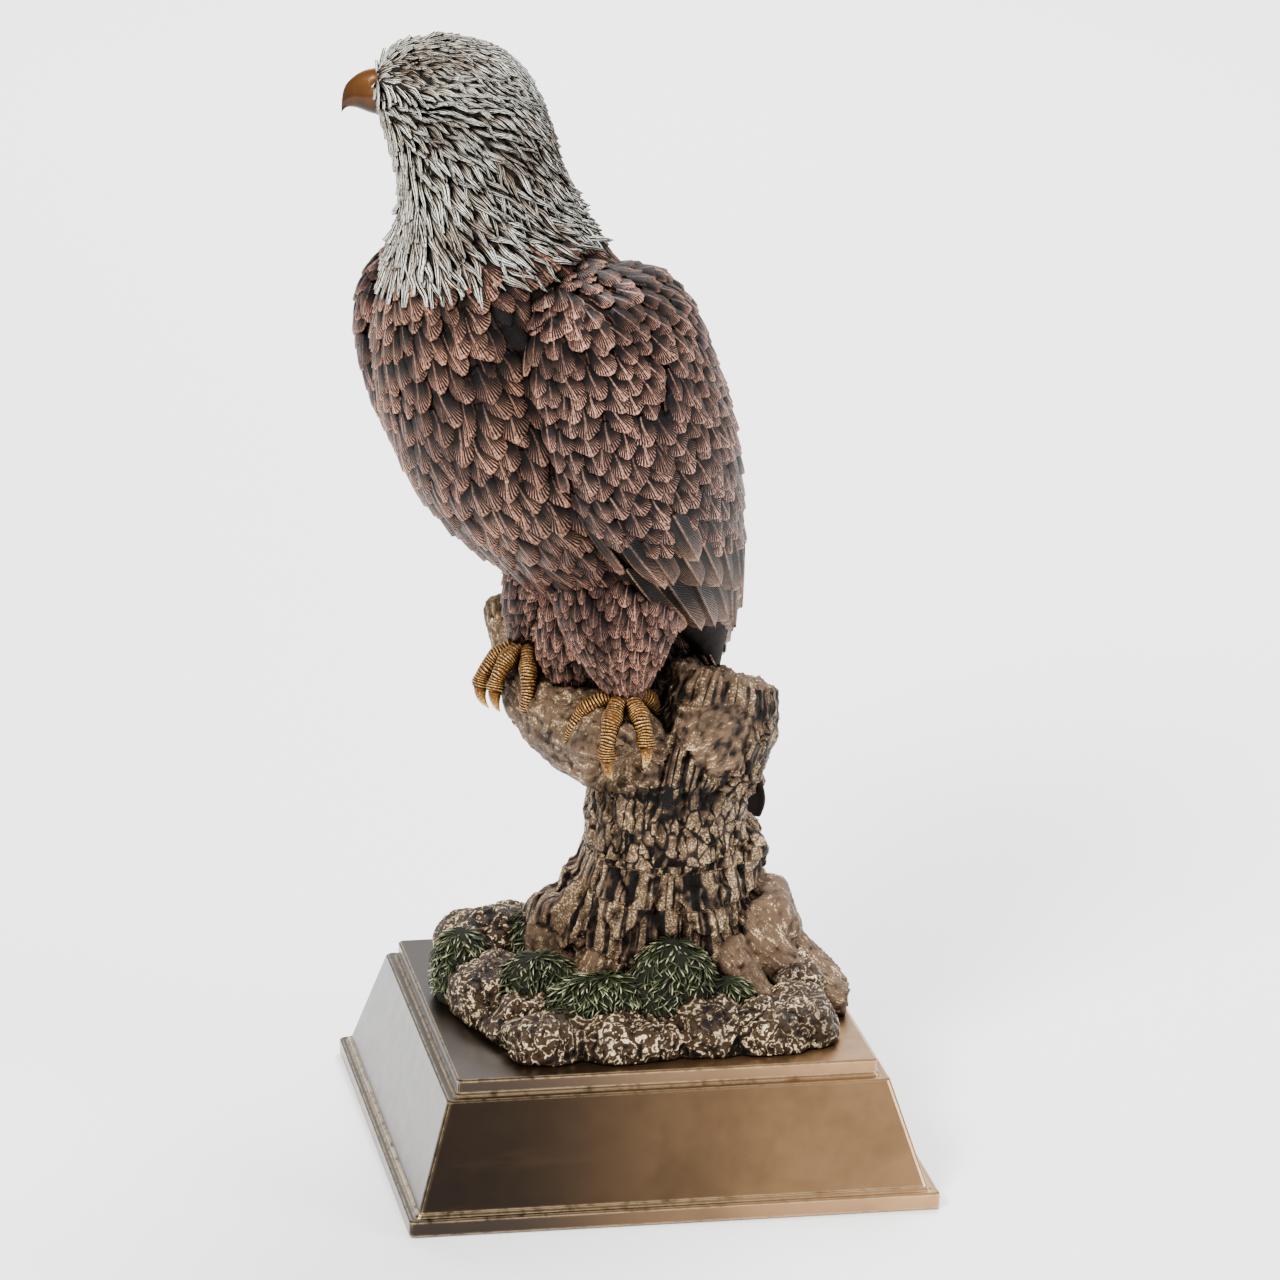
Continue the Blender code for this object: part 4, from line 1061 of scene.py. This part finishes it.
def worn_gold():
    """Gold paint rubbed bright on every scute, with brown wash left in the grooves."""
    made, tree, shader = new_material("worn_gold")
    tone = add(tree, "ShaderNodeAttribute", attribute_name="tone").outputs["Fac"]
    fine = grain(tree, 1400, 3)
    cloud = grain(tree, 130, 3)
    level = calc(tree, "ADD", tone, calc(tree, "MULTIPLY", calc(tree, "SUBTRACT", fine, 0.5), 0.9))
    colour = blend_colour(tree, fade(tree, level, 0.38, 0.86), linear("#120902"), linear("#7d4f16"))
    colour = blend_colour(tree, fade(tree, level, 0.66, 1.00), colour, linear("#ffd488"))
    colour = blend_colour(tree, fade(tree, cloud, 0.50, 0.68, 0.0, 0.7), colour, linear("#5a3612"))
    wash_shade_and_finish(tree, shader, colour, level, linear("#1c0f05"), 0.34, 0.30, 0.0040, (0.35, 0.90))
    shader.inputs["Metallic"].default_value = 0.35
    return made


gold = worn_gold()
foot("left_foot", LEFT_ANKLE, LEFT_TOES)
foot("right_foot", RIGHT_ANKLE, RIGHT_TOES)

# Stump
# One broken tree in bronzed resin: a trunk with burrs and roots, a snapped fork with open
# wood grain beside the bird, and the limb it grips. Cracked bark hangs on it in flaps.

BARK_DEPTH = 0.0022
# Each timber's line: place across, place in depth, height over the seat, and radius.
TRUNK_LINE = (
    (0.014, 0.004, -0.010, 0.062),
    (0.014, 0.004, 0.014, 0.057),
    (0.014, 0.003, 0.040, 0.052),
    (0.015, 0.001, 0.060, 0.046),
    (0.016, 0.000, 0.080, 0.0415),
    (0.016, -0.002, 0.104, 0.040),
    (0.020, -0.004, 0.126, 0.040),
    (0.027, -0.006, 0.146, 0.034),
)
STUB_LINE = (
    (0.014, -0.006, 0.104, 0.027),
    (0.026, -0.010, 0.124, 0.032),
    (0.034, -0.011, 0.142, 0.034),
    (0.038, -0.010, 0.158, 0.033),
    (0.042, -0.008, 0.170, 0.029),
)
LIMB_LINE = (
    (-0.0105, -0.0440, 0.1405, 0.0190),
    (-0.0130, -0.0400, 0.1425, 0.0230),
    (-0.0240, -0.0200, 0.1430, 0.0230),
    (-0.0340, 0.0020, 0.1450, 0.0215),
    (-0.0430, 0.0240, 0.1520, 0.0185),
    (-0.0470, 0.0430, 0.1630, 0.0155),
    (-0.0490, 0.0590, 0.1750, 0.0150),
    (-0.0512, 0.0710, 0.1865, 0.0140),
)
# Azimuth in degrees, reach and thickness of each root, and how far it turns aside.
ROOTS = (
    (188, 0.078, 0.019, 0.3),
    (216, 0.074, 0.018, -0.1),
    (238, 0.064, 0.014, 0.2),
    (299, 0.082, 0.0135, 0.15),
    (326, 0.090, 0.017, 0.15),
    (352, 0.084, 0.020, -0.2),
    (40, 0.074, 0.018, 0.3),
    (95, 0.072, 0.017, -0.3),
    (140, 0.074, 0.018, 0.2),
)
# Place, height and radius of each burr.
BURRS = (
    (-0.032, 0.006, 0.036, 0.022),
    (-0.019, 0.002, 0.053, 0.019),
    (0.042, -0.004, 0.074, 0.023),
    (0.060, -0.008, 0.040, 0.022),
    (0.052, 0.016, 0.052, 0.018),
)
# Azimuth in degrees, top, width and length of each flap of bark, and how far it stands off.
FLAPS = (
    (236, 0.082, 0.034, 0.036, 0.0045),
    (286, 0.072, 0.026, 0.026, 0.0050),
    (204, 0.060, 0.024, 0.026, 0.0040),
)


def timber(name, table, sides=40, steps=60):
    """A bare length of wood along a table of places and radii."""
    rows = between(table, np.linspace(0, len(table) - 1, steps))
    return tube(name, rows[:, :3] + np.array((0, 0, SEAT)), list(rows[:, 3]), sides)


def root_line(azimuth, reach, thickness, turn):
    """Middle line and radii of a root that leaves the trunk, arches over and goes into the ground."""
    share = np.linspace(0, 1, 24)
    a = math.radians(azimuth) + turn * share**2
    out = 0.022 + (reach - 0.022) * share
    high = 0.046 * (1 - share) ** 1.4 + 0.006
    line = np.stack((0.020 + np.cos(a) * out, 0.002 + np.sin(a) * out, SEAT + high), 1)
    return line, thickness * (1.15 - 0.62 * share)


def lump(name, x, y, half_x, half_y, half_z, turn, base, seed, roughness=0.16, subdivisions=5):
    """A rock, burr or cushion: a ball made uneven, its middle at or above the seat."""
    work = bmesh.new()
    bmesh.ops.create_icosphere(work, subdivisions=subdivisions, radius=1.0)
    for v in work.verts:
        way = v.co.normalized()
        uneven = 1 + roughness * noise.noise(way * 1.7 + Vector((seed, 0, 0)))
        boxy = 1 / max(abs(way.x) ** 4 + abs(way.y) ** 4 + abs(way.z) ** 4, 0.2) ** 0.12
        v.co = way * uneven * boxy
    bmesh.ops.scale(work, verts=work.verts, vec=(half_x, half_y, half_z))
    turned = Matrix.Rotation(math.radians(turn), 3, "Z")
    bmesh.ops.rotate(work, verts=work.verts, cent=(0, 0, 0), matrix=turned)
    bmesh.ops.translate(work, verts=work.verts, vec=(x, y, SEAT + base))
    mesh = bpy.data.meshes.new(name)
    work.to_mesh(mesh)
    work.free()
    return placed(name, mesh)


def flap(azimuth, top, width, length, stand):
    """A hanging shield of bark, ragged and pointed below, that stands off the trunk."""
    heights = [row[2] for row in TRUNK_LINE]
    rings = []
    for share in np.linspace(0, 1, 40):
        z = top - length * share
        x, y, _, radius = between(TRUNK_LINE, np.interp(z, heights, range(len(heights))))
        ragged = 1 + 0.10 * noise.noise(Vector((share * 9, azimuth, 0)))
        half = (width / 2 * (1 - share**2.2) + 0.0008) * ragged
        outer, inner = radius + stand * (0.6 + 0.9 * share), radius - 0.005 + stand * 0.4 * share
        a = math.radians(azimuth) + np.linspace(-half, half, 25) / radius
        ring = [(x + math.cos(b) * outer, y + math.sin(b) * outer, SEAT + z) for b in a]
        ring += [(x + math.cos(b) * inner, y + math.sin(b) * inner, SEAT + z) for b in a[::-1]]
        rings.append(ring)
    return skin("flap", rings)


def fused(name, parts, fineness):
    """Overlapping forms fused to one closed skin, cut off level at the seat."""
    whole = merge(name, parts)
    remesh = whole.modifiers.new("fuse", "REMESH")
    remesh.mode = "VOXEL"
    remesh.voxel_size = fineness
    make_plain(whole)
    work = bmesh.new()
    work.from_mesh(whole.data)
    all_of_it = work.verts[:] + work.edges[:] + work.faces[:]
    level = bmesh.ops.bisect_plane(
        work, geom=all_of_it, plane_co=(0, 0, SEAT), plane_no=(0, 0, 1), clear_inner=True,
    )
    rim = [e for e in level["geom_cut"] if isinstance(e, bmesh.types.BMEdge)]
    bmesh.ops.contextual_create(work, geom=rim)
    bmesh.ops.triangulate(work, faces=[f for f in work.faces if len(f.verts) > 4])
    for face in work.faces:
        face.smooth = True
    work.to_mesh(whole.data)
    work.free()
    return whole


def points_and_normals(mesh):
    """The places and normals of a mesh's points."""
    place, way = (np.empty(len(mesh.vertices) * 3, np.float32) for _ in range(2))
    mesh.vertices.foreach_get("co", place)
    mesh.vertices.foreach_get("normal", way)
    return place.reshape(-1, 3).astype(float), way.reshape(-1, 3).astype(float)


def carve(obj, depth, **fields):
    """Moves every point along its normal by the relief's depth there, and keeps its fields."""
    mesh = obj.data
    place, way = points_and_normals(mesh)
    place = place + way * (depth * np.clip((place[:, 2] - SEAT) / 0.003, 0, 1))[:, None]
    place[:, 2] = np.maximum(place[:, 2], SEAT)
    mesh.vertices.foreach_set("co", place.astype(np.float32).ravel())
    for name, values in fields.items():
        note(mesh, name, values)
    mesh.update()


def step_between(x, low, high):
    """0 below low, 1 above high and smooth between them."""
    t = np.clip((x - low) / (high - low), 0, 1)
    return t * t * (3 - 2 * t)


TIMBERS = []
for table in map(np.array, (TRUNK_LINE, STUB_LINE, LIMB_LINE)):
    TIMBERS.append((table[:, :3] + np.array((0, 0, SEAT)), table[:, 3]))
TIMBERS += [root_line(*row) for row in ROOTS]


def lie_of_grain(place):
    """Nearest timber to each point, and where the point is on it: round it, along it, off it."""
    best = np.full(len(place), 9.0)
    number = np.zeros(len(place), int)
    lie = np.zeros((len(place), 3))
    for n, (line, radii) in enumerate(TIMBERS):
        done = np.concatenate(((0.0,), np.cumsum(np.linalg.norm(np.diff(line, axis=0), axis=1))))
        for i in range(len(line) - 1):
            run = line[i + 1] - line[i]
            t = np.clip((place - line[i]) @ run / (run @ run), 0, 1)
            off = place - line[i] - t[:, None] * run
            radius = radii[i] + (radii[i + 1] - radii[i]) * t
            gap = np.linalg.norm(off, axis=1) - radius
            closer = gap < best
            aside = unit(np.cross(run, (0.0, 0.0, 1.0) if n > 1 else (0.0, 1.0, 0.0)))
            over = np.cross(unit(run), aside)
            round_it = np.arctan2(off @ over, off @ aside) * radii.mean()
            best[closer], number[closer] = gap[closer], n
            lie[closer] = np.stack((round_it, done[i] + t * np.linalg.norm(run), gap), 1)[closer]
    return number, lie


def sampled(points, scale, function=noise.noise):
    """A noise at each point, its pattern that many times a metre."""
    return np.array([function(Vector(p)) for p in (points * scale).tolist()])


FORK_TOP = 0.166
FORK_LOW = 0.134
KNOT_HOLE = np.array((0.020, -0.044, SEAT + 0.116))
KNOT_SIZE = np.array((0.022, 0.014, 0.013))
parts = [timber("trunk", TRUNK_LINE), timber("stub", STUB_LINE), timber("limb", LIMB_LINE)]
for row in ROOTS:
    line, radii = root_line(*row)
    parts.append(tube("root", line, list(radii), 20))
parts += [lump("burr", x, y, r, r, r, 0, high, 60 + n) for n, (x, y, high, r) in enumerate(BURRS)]
parts += [flap(*row) for row in FLAPS]
stump = fused("stump", parts, 0.00148)
place, way = points_and_normals(stump.data)
number, lie = lie_of_grain(place)
wander = np.stack([sampled(place + shift, 55) for shift in (0.0, 0.5, 0.9)], 1)
spread = np.stack((lie[:, 0] * 62, lie[:, 1] * 30, number * 7.0), 1) + wander * 0.45
plates = [noise.voronoi(Vector(p)) for p in spread.tolist()]
crack = step_between(np.array([near[1] - near[0] for near, _ in plates]), 0.03, 0.16)
plate = np.array([noise.noise(cells[0] * 5.3) for _, cells in plates])
furrow = sampled(np.stack((lie[:, 0], lie[:, 1] * 0.16, number * 0.1), 1), 260)
strand = sampled(np.stack((lie[:, 0], lie[:, 1] * 0.10, number * 0.1), 1), 620)
rough = sampled(place, 260, lambda p: noise.fractal(p, 0.7, 2.1, 4))
knot = sampled(place, 75)
face_out = -way[:, 0] * 0.62 - way[:, 1] * 0.74
open_wood = np.where(number == 1, step_between(face_out + 0.25 * wander[:, 0], 0.15, 0.55), 0.0)
high = place[:, 2] - SEAT
open_wood *= step_between(FORK_TOP - high, -0.006, 0.012) * step_between(high, 0.122, 0.134)
top_wood = np.where(number == 1, step_between(way[:, 2], 0.35, 0.7), 0.0)
bare_root = np.where(number >= 3, 0.8, 0.0)
bare = np.maximum.reduce((open_wood, top_wood * 0.7, bare_root, np.where(number == 2, 0.55, 0.0)))
GRAIN_WAY = np.array((0.88, -0.16, 0.44))
along_grain = place @ GRAIN_WAY
across = place @ unit(np.cross(GRAIN_WAY, (0.18, 0.98, 0.0)))
split = sampled(np.stack((across, along_grain * 0.12, 0 * across), 1), 190)
lie = np.where(open_wood[:, None] > 0.5, np.stack((across, along_grain, 0 * across), 1), lie)
ragged = sampled(place, 120, lambda p: noise.fractal(p, 0.8, 2.1, 3))
sunken = np.where(number == 1, step_between(FORK_LOW - high, 0.0, 0.014), 0.0)
hollow = np.exp(-(((place - KNOT_HOLE) / KNOT_SIZE) ** 2).sum(1))
bark = BARK_DEPTH * (0.85 * (crack - 1) + 0.45 * plate) + 0.0006 * furrow + 0.0007 * rough
wood = 0.0011 * furrow + 0.0006 * strand + 0.0004 * rough
wood = wood * (1 - open_wood) + (0.0022 * split + 0.0005 * rough - 0.0014) * open_wood
depth = bark * (1 - bare) + wood * bare + 0.0014 * knot * (1 - open_wood)
depth = depth + 0.0013 * rough * sunken - 0.003 * hollow + top_wood * 0.0038 * ragged
tone = 0.44 + (0.20 * (crack - 1) + 0.08 * plate) * (1 - bare)
tone = tone + 0.24 * rough + 0.14 * strand + 0.34 * split * open_wood
tone = tone - 0.2 * hollow - 0.05 * bare_root - 0.17 * open_wood - 0.05 * top_wood
carve(stump, depth, tone=tone, lie=lie + np.stack((0.31 * number, 0.17 * number, 0 * number), 1), bare=bare)


def weathered(name, dark, mid, light, speck, catch, metallic=0.15, rough=0.50, woody=False):
    """Dry-brushed resin: a dark ground, a body colour and cream caught on every roughness."""
    made, tree, shader = new_material(name)
    tone = add(tree, "ShaderNodeAttribute", attribute_name="tone").outputs["Fac"]
    grit = grain(tree, speck, 4, rough=0.7)
    specks = fade(tree, grit, 0.36, 0.64)
    cloud = grain(tree, 30, 4)
    if woody:
        lie = add(tree, "ShaderNodeAttribute", attribute_name="lie").outputs["Vector"]
        bare = add(tree, "ShaderNodeAttribute", attribute_name="bare").outputs["Fac"]
        drift = {"Vector": lie, "Scale": 170.0, "Detail": 3.0}
        drift = add(tree, "ShaderNodeTexNoise", drift).outputs["Color"]
        bent = {0: drift, 1: (0.006, 0.010, 0.0), 2: lie}
        bent = add(tree, "ShaderNodeVectorMath", bent, operation="MULTIPLY_ADD")
        cells = add(tree, "ShaderNodeMapping", {"Vector": bent, "Scale": (1.0, 0.62, 0.25)})
        web = {"Vector": cells, "Scale": 150.0}
        web = add(tree, "ShaderNodeTexVoronoi", web, feature="DISTANCE_TO_EDGE").outputs["Distance"]
        line = add(tree, "ShaderNodeMapping", {"Vector": bent, "Scale": (1.0, 0.07, 0.3)})
        fibre = {"Vector": line, "Scale": 800.0, "Detail": 4.0, "Roughness": 0.6}
        fibre = add(tree, "ShaderNodeTexNoise", fibre).outputs["Fac"]
        strands = fade(tree, fibre, 0.38, 0.62)
        open_crack = calc(tree, "MULTIPLY", fade(tree, web, 0.12, 0.03), calc(tree, "SUBTRACT", 1.0, bare))
        much = calc(tree, "MULTIPLY", bare, 0.65)
        relief = calc(tree, "MULTIPLY", specks, calc(tree, "SUBTRACT", 1.0, much))
        relief = calc(tree, "ADD", relief, calc(tree, "MULTIPLY", strands, much))
        relief = calc(tree, "SUBTRACT", relief, calc(tree, "MULTIPLY", open_crack, 0.8))
        ground = calc(tree, "SUBTRACT", tone, calc(tree, "MULTIPLY", open_crack, 0.36))
    else:
        place = add(tree, "ShaderNodeTexCoord").outputs["Object"]
        drift = {"Vector": place, "Scale": 75.0, "Detail": 3.0, "Roughness": 0.5}
        drift = add(tree, "ShaderNodeTexNoise", drift).outputs["Fac"]
        phase = calc(tree, "ADD", calc(tree, "MULTIPLY", drift, 60.0), calc(tree, "MULTIPLY", grit, 4.0))
        swirl = calc(tree, "MULTIPLY", calc(tree, "SINE", phase), 0.5)
        curl = calc(tree, "POWER", calc(tree, "ADD", swirl, 0.5), 2.0)
        relief = calc(tree, "ADD", calc(tree, "MULTIPLY", curl, 0.5), calc(tree, "MULTIPLY", specks, 0.6))
        ground = calc(tree, "ADD", tone, calc(tree, "MULTIPLY", calc(tree, "SUBTRACT", curl, 0.4), 0.20))
    colour = blend_colour(tree, fade(tree, ground, 0.02, 0.40), linear(dark), linear(mid))
    colour = blend_colour(tree, fade(tree, cloud, 0.45, 0.68, 0.0, 0.35), colour, linear(dark))
    level = calc(tree, "ADD", relief, calc(tree, "MULTIPLY", calc(tree, "SUBTRACT", ground, 0.40), 1.1))
    brushed = fade(tree, level, catch, catch + 0.24)
    brushed = calc(tree, "MULTIPLY", brushed, fade(tree, cloud, 0.68, 0.40, 0.25, 1.0))
    colour = blend_colour(tree, brushed, colour, linear(light))
    wash_shade_and_finish(tree, shader, colour, relief, linear(dark), rough, 0.8, 0.006, (0.22, 0.80))
    shader.inputs["Metallic"].default_value = metallic
    return made


# Bark: brown over black, with cream on every roughness, and a dull metal sheen.
give(stump, weathered("bronzed_bark", "#0a0705", "#6b5440", "#f2d3a2", 1100, 0.67, woody=True))
finish_piece(stump)

# Rocks
# Rounded boulders and slabs set in a mat of earth, one with the casting, cream on their crests.

MAT_HALF = 0.086
MAT_HEIGHT = 0.014
# Place, half sizes and turn in degrees of each rock.
ROCKS = (
    (-0.064, 0.042, 0.027, 0.028, 0.031, 20),
    (-0.068, -0.012, 0.025, 0.028, 0.022, 10),
    (-0.058, -0.048, 0.018, 0.015, 0.016, -20),
    (-0.054, -0.074, 0.022, 0.017, 0.0135, 10),
    (-0.014, -0.078, 0.026, 0.018, 0.0130, 4),
    (0.024, -0.074, 0.019, 0.018, 0.0195, 12),
    (0.054, -0.074, 0.021, 0.019, 0.0165, -10),
    (0.072, -0.062, 0.016, 0.025, 0.0170, 5),
    (0.074, -0.030, 0.016, 0.024, 0.024, 5),
    (0.068, 0.006, 0.019, 0.026, 0.026, 0),
    (0.062, 0.048, 0.022, 0.022, 0.026, 25),
    (0.028, 0.068, 0.028, 0.020, 0.026, -10),
    (-0.016, 0.070, 0.028, 0.019, 0.024, 8),
    (-0.050, 0.072, 0.022, 0.015, 0.019, -15),
)
# Place and half sizes of each cushion of moss.
MOSSES = (
    (-0.052, -0.030, 0.021, 0.017, 0.030),
    (-0.024, -0.056, 0.029, 0.018, 0.027),
    (0.010, -0.056, 0.021, 0.020, 0.043),
    (0.036, -0.058, 0.016, 0.011, 0.023),
    (-0.083, 0.016, 0.014, 0.018, 0.028),
    (-0.040, 0.024, 0.020, 0.024, 0.036),
    (0.048, 0.044, 0.022, 0.022, 0.030),
)


def ground_mat():
    """The low rounded mat of earth that the rocks and roots stand in."""
    turns = np.linspace(0, 2 * math.pi, 96, endpoint=False)
    square = 1 / (np.abs(np.cos(turns)) ** 4 + np.abs(np.sin(turns)) ** 4) ** 0.25
    uneven = np.array([1 + 0.035 * noise.noise(Vector((math.cos(a) * 2, math.sin(a) * 2, 4))) for a in turns])
    rings = []
    for share, z in ((0.96, -0.004), (1.0, 0.45 * MAT_HEIGHT), (0.95, 0.85 * MAT_HEIGHT), (0.80, MAT_HEIGHT)):
        reach = MAT_HALF * share * square * uneven
        rings.append(np.stack((reach * np.cos(turns), reach * np.sin(turns), np.full(96, SEAT + z)), 1))
    return skin("mat", rings)


parts = [ground_mat()]
parts += [lump("rock", *row, 0.006, n) for n, row in enumerate(ROCKS)]
rocks = fused("rocks", parts, 0.00148)
place, way = points_and_normals(rocks.data)
broad = sampled(place, 65)
bend = sampled(place, 42, lambda p: noise.fractal(p, 0.9, 2.0, 3))
swirl = np.sin(bend * 16.0)
rough = sampled(place, 260, lambda p: noise.fractal(p, 0.7, 2.1, 4))
depth = 0.0016 * broad + 0.0007 * swirl + 0.0005 * rough
carve(rocks, depth, tone=0.36 + 0.22 * broad + 0.16 * swirl + 0.32 * rough)
# Stone: a darker body than the bark, so the cream stands out in curls.
give(rocks, weathered("bronzed_stone", "#0a0705", "#3e2d1d", "#f8dfb4", 1000, 0.74, 0.15, 0.40))
finish_piece(rocks)

# Moss
# Dense cushions of moss between the rocks and roots: short curved blades, dark green below and
# dry brushed at the tips.


def cushion_points(x, y, half_x, half_y, high, seed):
    """Blades over the upper side of a cushion, streaming outwards and down from its top."""
    rng = np.random.default_rng(seed)
    count = int(2000000 * half_x * half_y)
    turn = rng.uniform(0, 2 * math.pi, count)
    rise = rng.uniform(0.05, 1.0, count)
    level = np.sqrt(1 - rise**2)
    ball = np.stack((level * np.cos(turn), level * np.sin(turn), rise), 1)
    boxy = np.maximum((ball**4).sum(1), 0.2) ** -0.12
    half = np.array((half_x, half_y, high)) * boxy[:, None]
    top = np.array((x, y, SEAT + 0.006))
    out = unit(ball / half)
    swirl = np.stack((-np.sin(turn), np.cos(turn), np.zeros(count)), 1)
    swirl = swirl * rng.uniform(-1.1, 1.1, count)[:, None]
    way = np.stack((np.cos(turn), np.sin(turn), -0.3 + 0 * turn), 1) + swirl
    way = unit(way - out * np.sum(way * out, axis=1)[:, None])
    thin, long = rng.uniform(0.00036, 0.00056, count), rng.uniform(0.0055, 0.0085, count)
    rise = rng.uniform(0.35, 0.75, count)
    leans = [rng.uniform(low, 1, count) for low in (-1, -1, 0)]
    return {
        "root": top + ball * half * 0.985,
        "way": way,
        "out": out,
        "size": np.stack((thin, long, np.full(count, 0.0003)), 1),
        "bend": np.stack((np.zeros(count), np.full(count, 50.0), rise), 1),
        "lean": np.stack(leans, 1),
    }


def moss_paint():
    """Dark green blades whose tips were brushed with cream."""
    made, tree, shader = new_material("painted_moss")
    v = parts_of(tree, "vane")[1]
    tone = parts_of(tree, "lean")[2]
    green = blend_colour(tree, tone, linear("#12180a"), linear("#37421f"))
    tip = calc(tree, "MULTIPLY", fade(tree, v, 0.40, 0.90), fade(tree, tone, 0.40, 0.95, 0.08, 0.9))
    colour = blend_colour(tree, tip, green, linear("#c2c096"))
    wash_shade_and_finish(tree, shader, colour, grain(tree, 900, 2), linear("#080c07"), 0.42, 0.2, 0.003)
    return made


# The cushions are cut level where they stand on the plinth.
cushions = [lump("cushion", *row, 0, 0.006, 40 + n, 0.1, 3) for n, row in enumerate(MOSSES)]
moss = merge("moss", cushions)
for point in moss.data.vertices:
    point.co.z = max(point.co.z, SEAT)
# The cushions show between the blades in dark green painted shade.
give(moss, painted_shade_ground("moss_wash", "#0c140b"))
blades = joined([cushion_points(*row, 70 + n) for n, row in enumerate(MOSSES)])
grow(moss, blades, moss_paint(), 2, 4, root=0.7, blunt=1.6, shaft=0.0, wave=0.1, lean=0.3)
finish_piece(moss)

# Camera, light and floor
# The camera stands where the photograph was taken from, on a plain pale floor in soft light.

camera_data = bpy.data.cameras.new("camera")
camera_data.sensor_width = 36.0
camera_data.lens = 175.87
camera_data.clip_end = 30.0
camera = placed("camera", camera_data)
bpy.context.scene.camera = camera
yaw, pitch, roll = (math.radians(a) for a in (10.2816, -16.5228, 0.6832))
look = Vector((math.sin(yaw) * math.cos(pitch), math.cos(yaw) * math.cos(pitch), math.sin(pitch)))
right = Vector((math.cos(yaw), -math.sin(yaw), 0.0))
over = right.cross(look)
turned_right = right * math.cos(roll) + over * math.sin(roll)
turned_up = over * math.cos(roll) - right * math.sin(roll)
camera.matrix_world = Matrix.Translation((-0.52227, -2.89027, 1.12661)) @ Matrix(
    (turned_right, turned_up, -look)
).transposed().to_4x4()

floor = bpy.data.meshes.new("floor")
floor.from_pydata([(-9, -9, 0), (9, -9, 0), (9, 9, 0), (-9, 9, 0)], [], [(0, 1, 2, 3)])
floor = placed("floor", floor)
floor.location.z = -0.0004
pale, tree, shader = new_material("pale_floor")
join_up(tree, shader, {"Base Color": linear("#f8f8f7"), "Roughness": 0.9})
give(floor, pale)

world = bpy.data.worlds.new("studio")
world.use_nodes = True
world.node_tree.nodes["Background"].inputs["Color"].default_value = (0.93, 0.95, 1.0, 1.0)
world.node_tree.nodes["Background"].inputs["Strength"].default_value = 0.80
bpy.context.scene.world = world


def lamp(name, spot, size, watts, colour, target=(0.0, 0.0, 0.28)):
    """A soft square light that faces its target."""
    data = bpy.data.lights.new(name, "AREA")
    data.size = size
    data.energy = watts
    data.color = colour
    made = placed(name, data)
    made.location = spot
    made.rotation_euler = (Vector(target) - Vector(spot)).to_track_quat("-Z", "Y").to_euler()


lamp("backdrop_light", (0.5, 2.9, 2.6), 2.4, 260, (1.0, 1.0, 1.0), (0.9, 3.4, 0.0))
lamp("key_light", (-1.4, -1.7, 1.9), 0.7, 175, (1.0, 0.98, 0.95))
lamp("fill_light", (1.9, -1.5, 0.9), 1.0, 55, (0.95, 0.97, 1.0))
lamp("top_light", (0.5, 0.7, 2.0), 0.9, 56, (1.0, 1.0, 1.0))
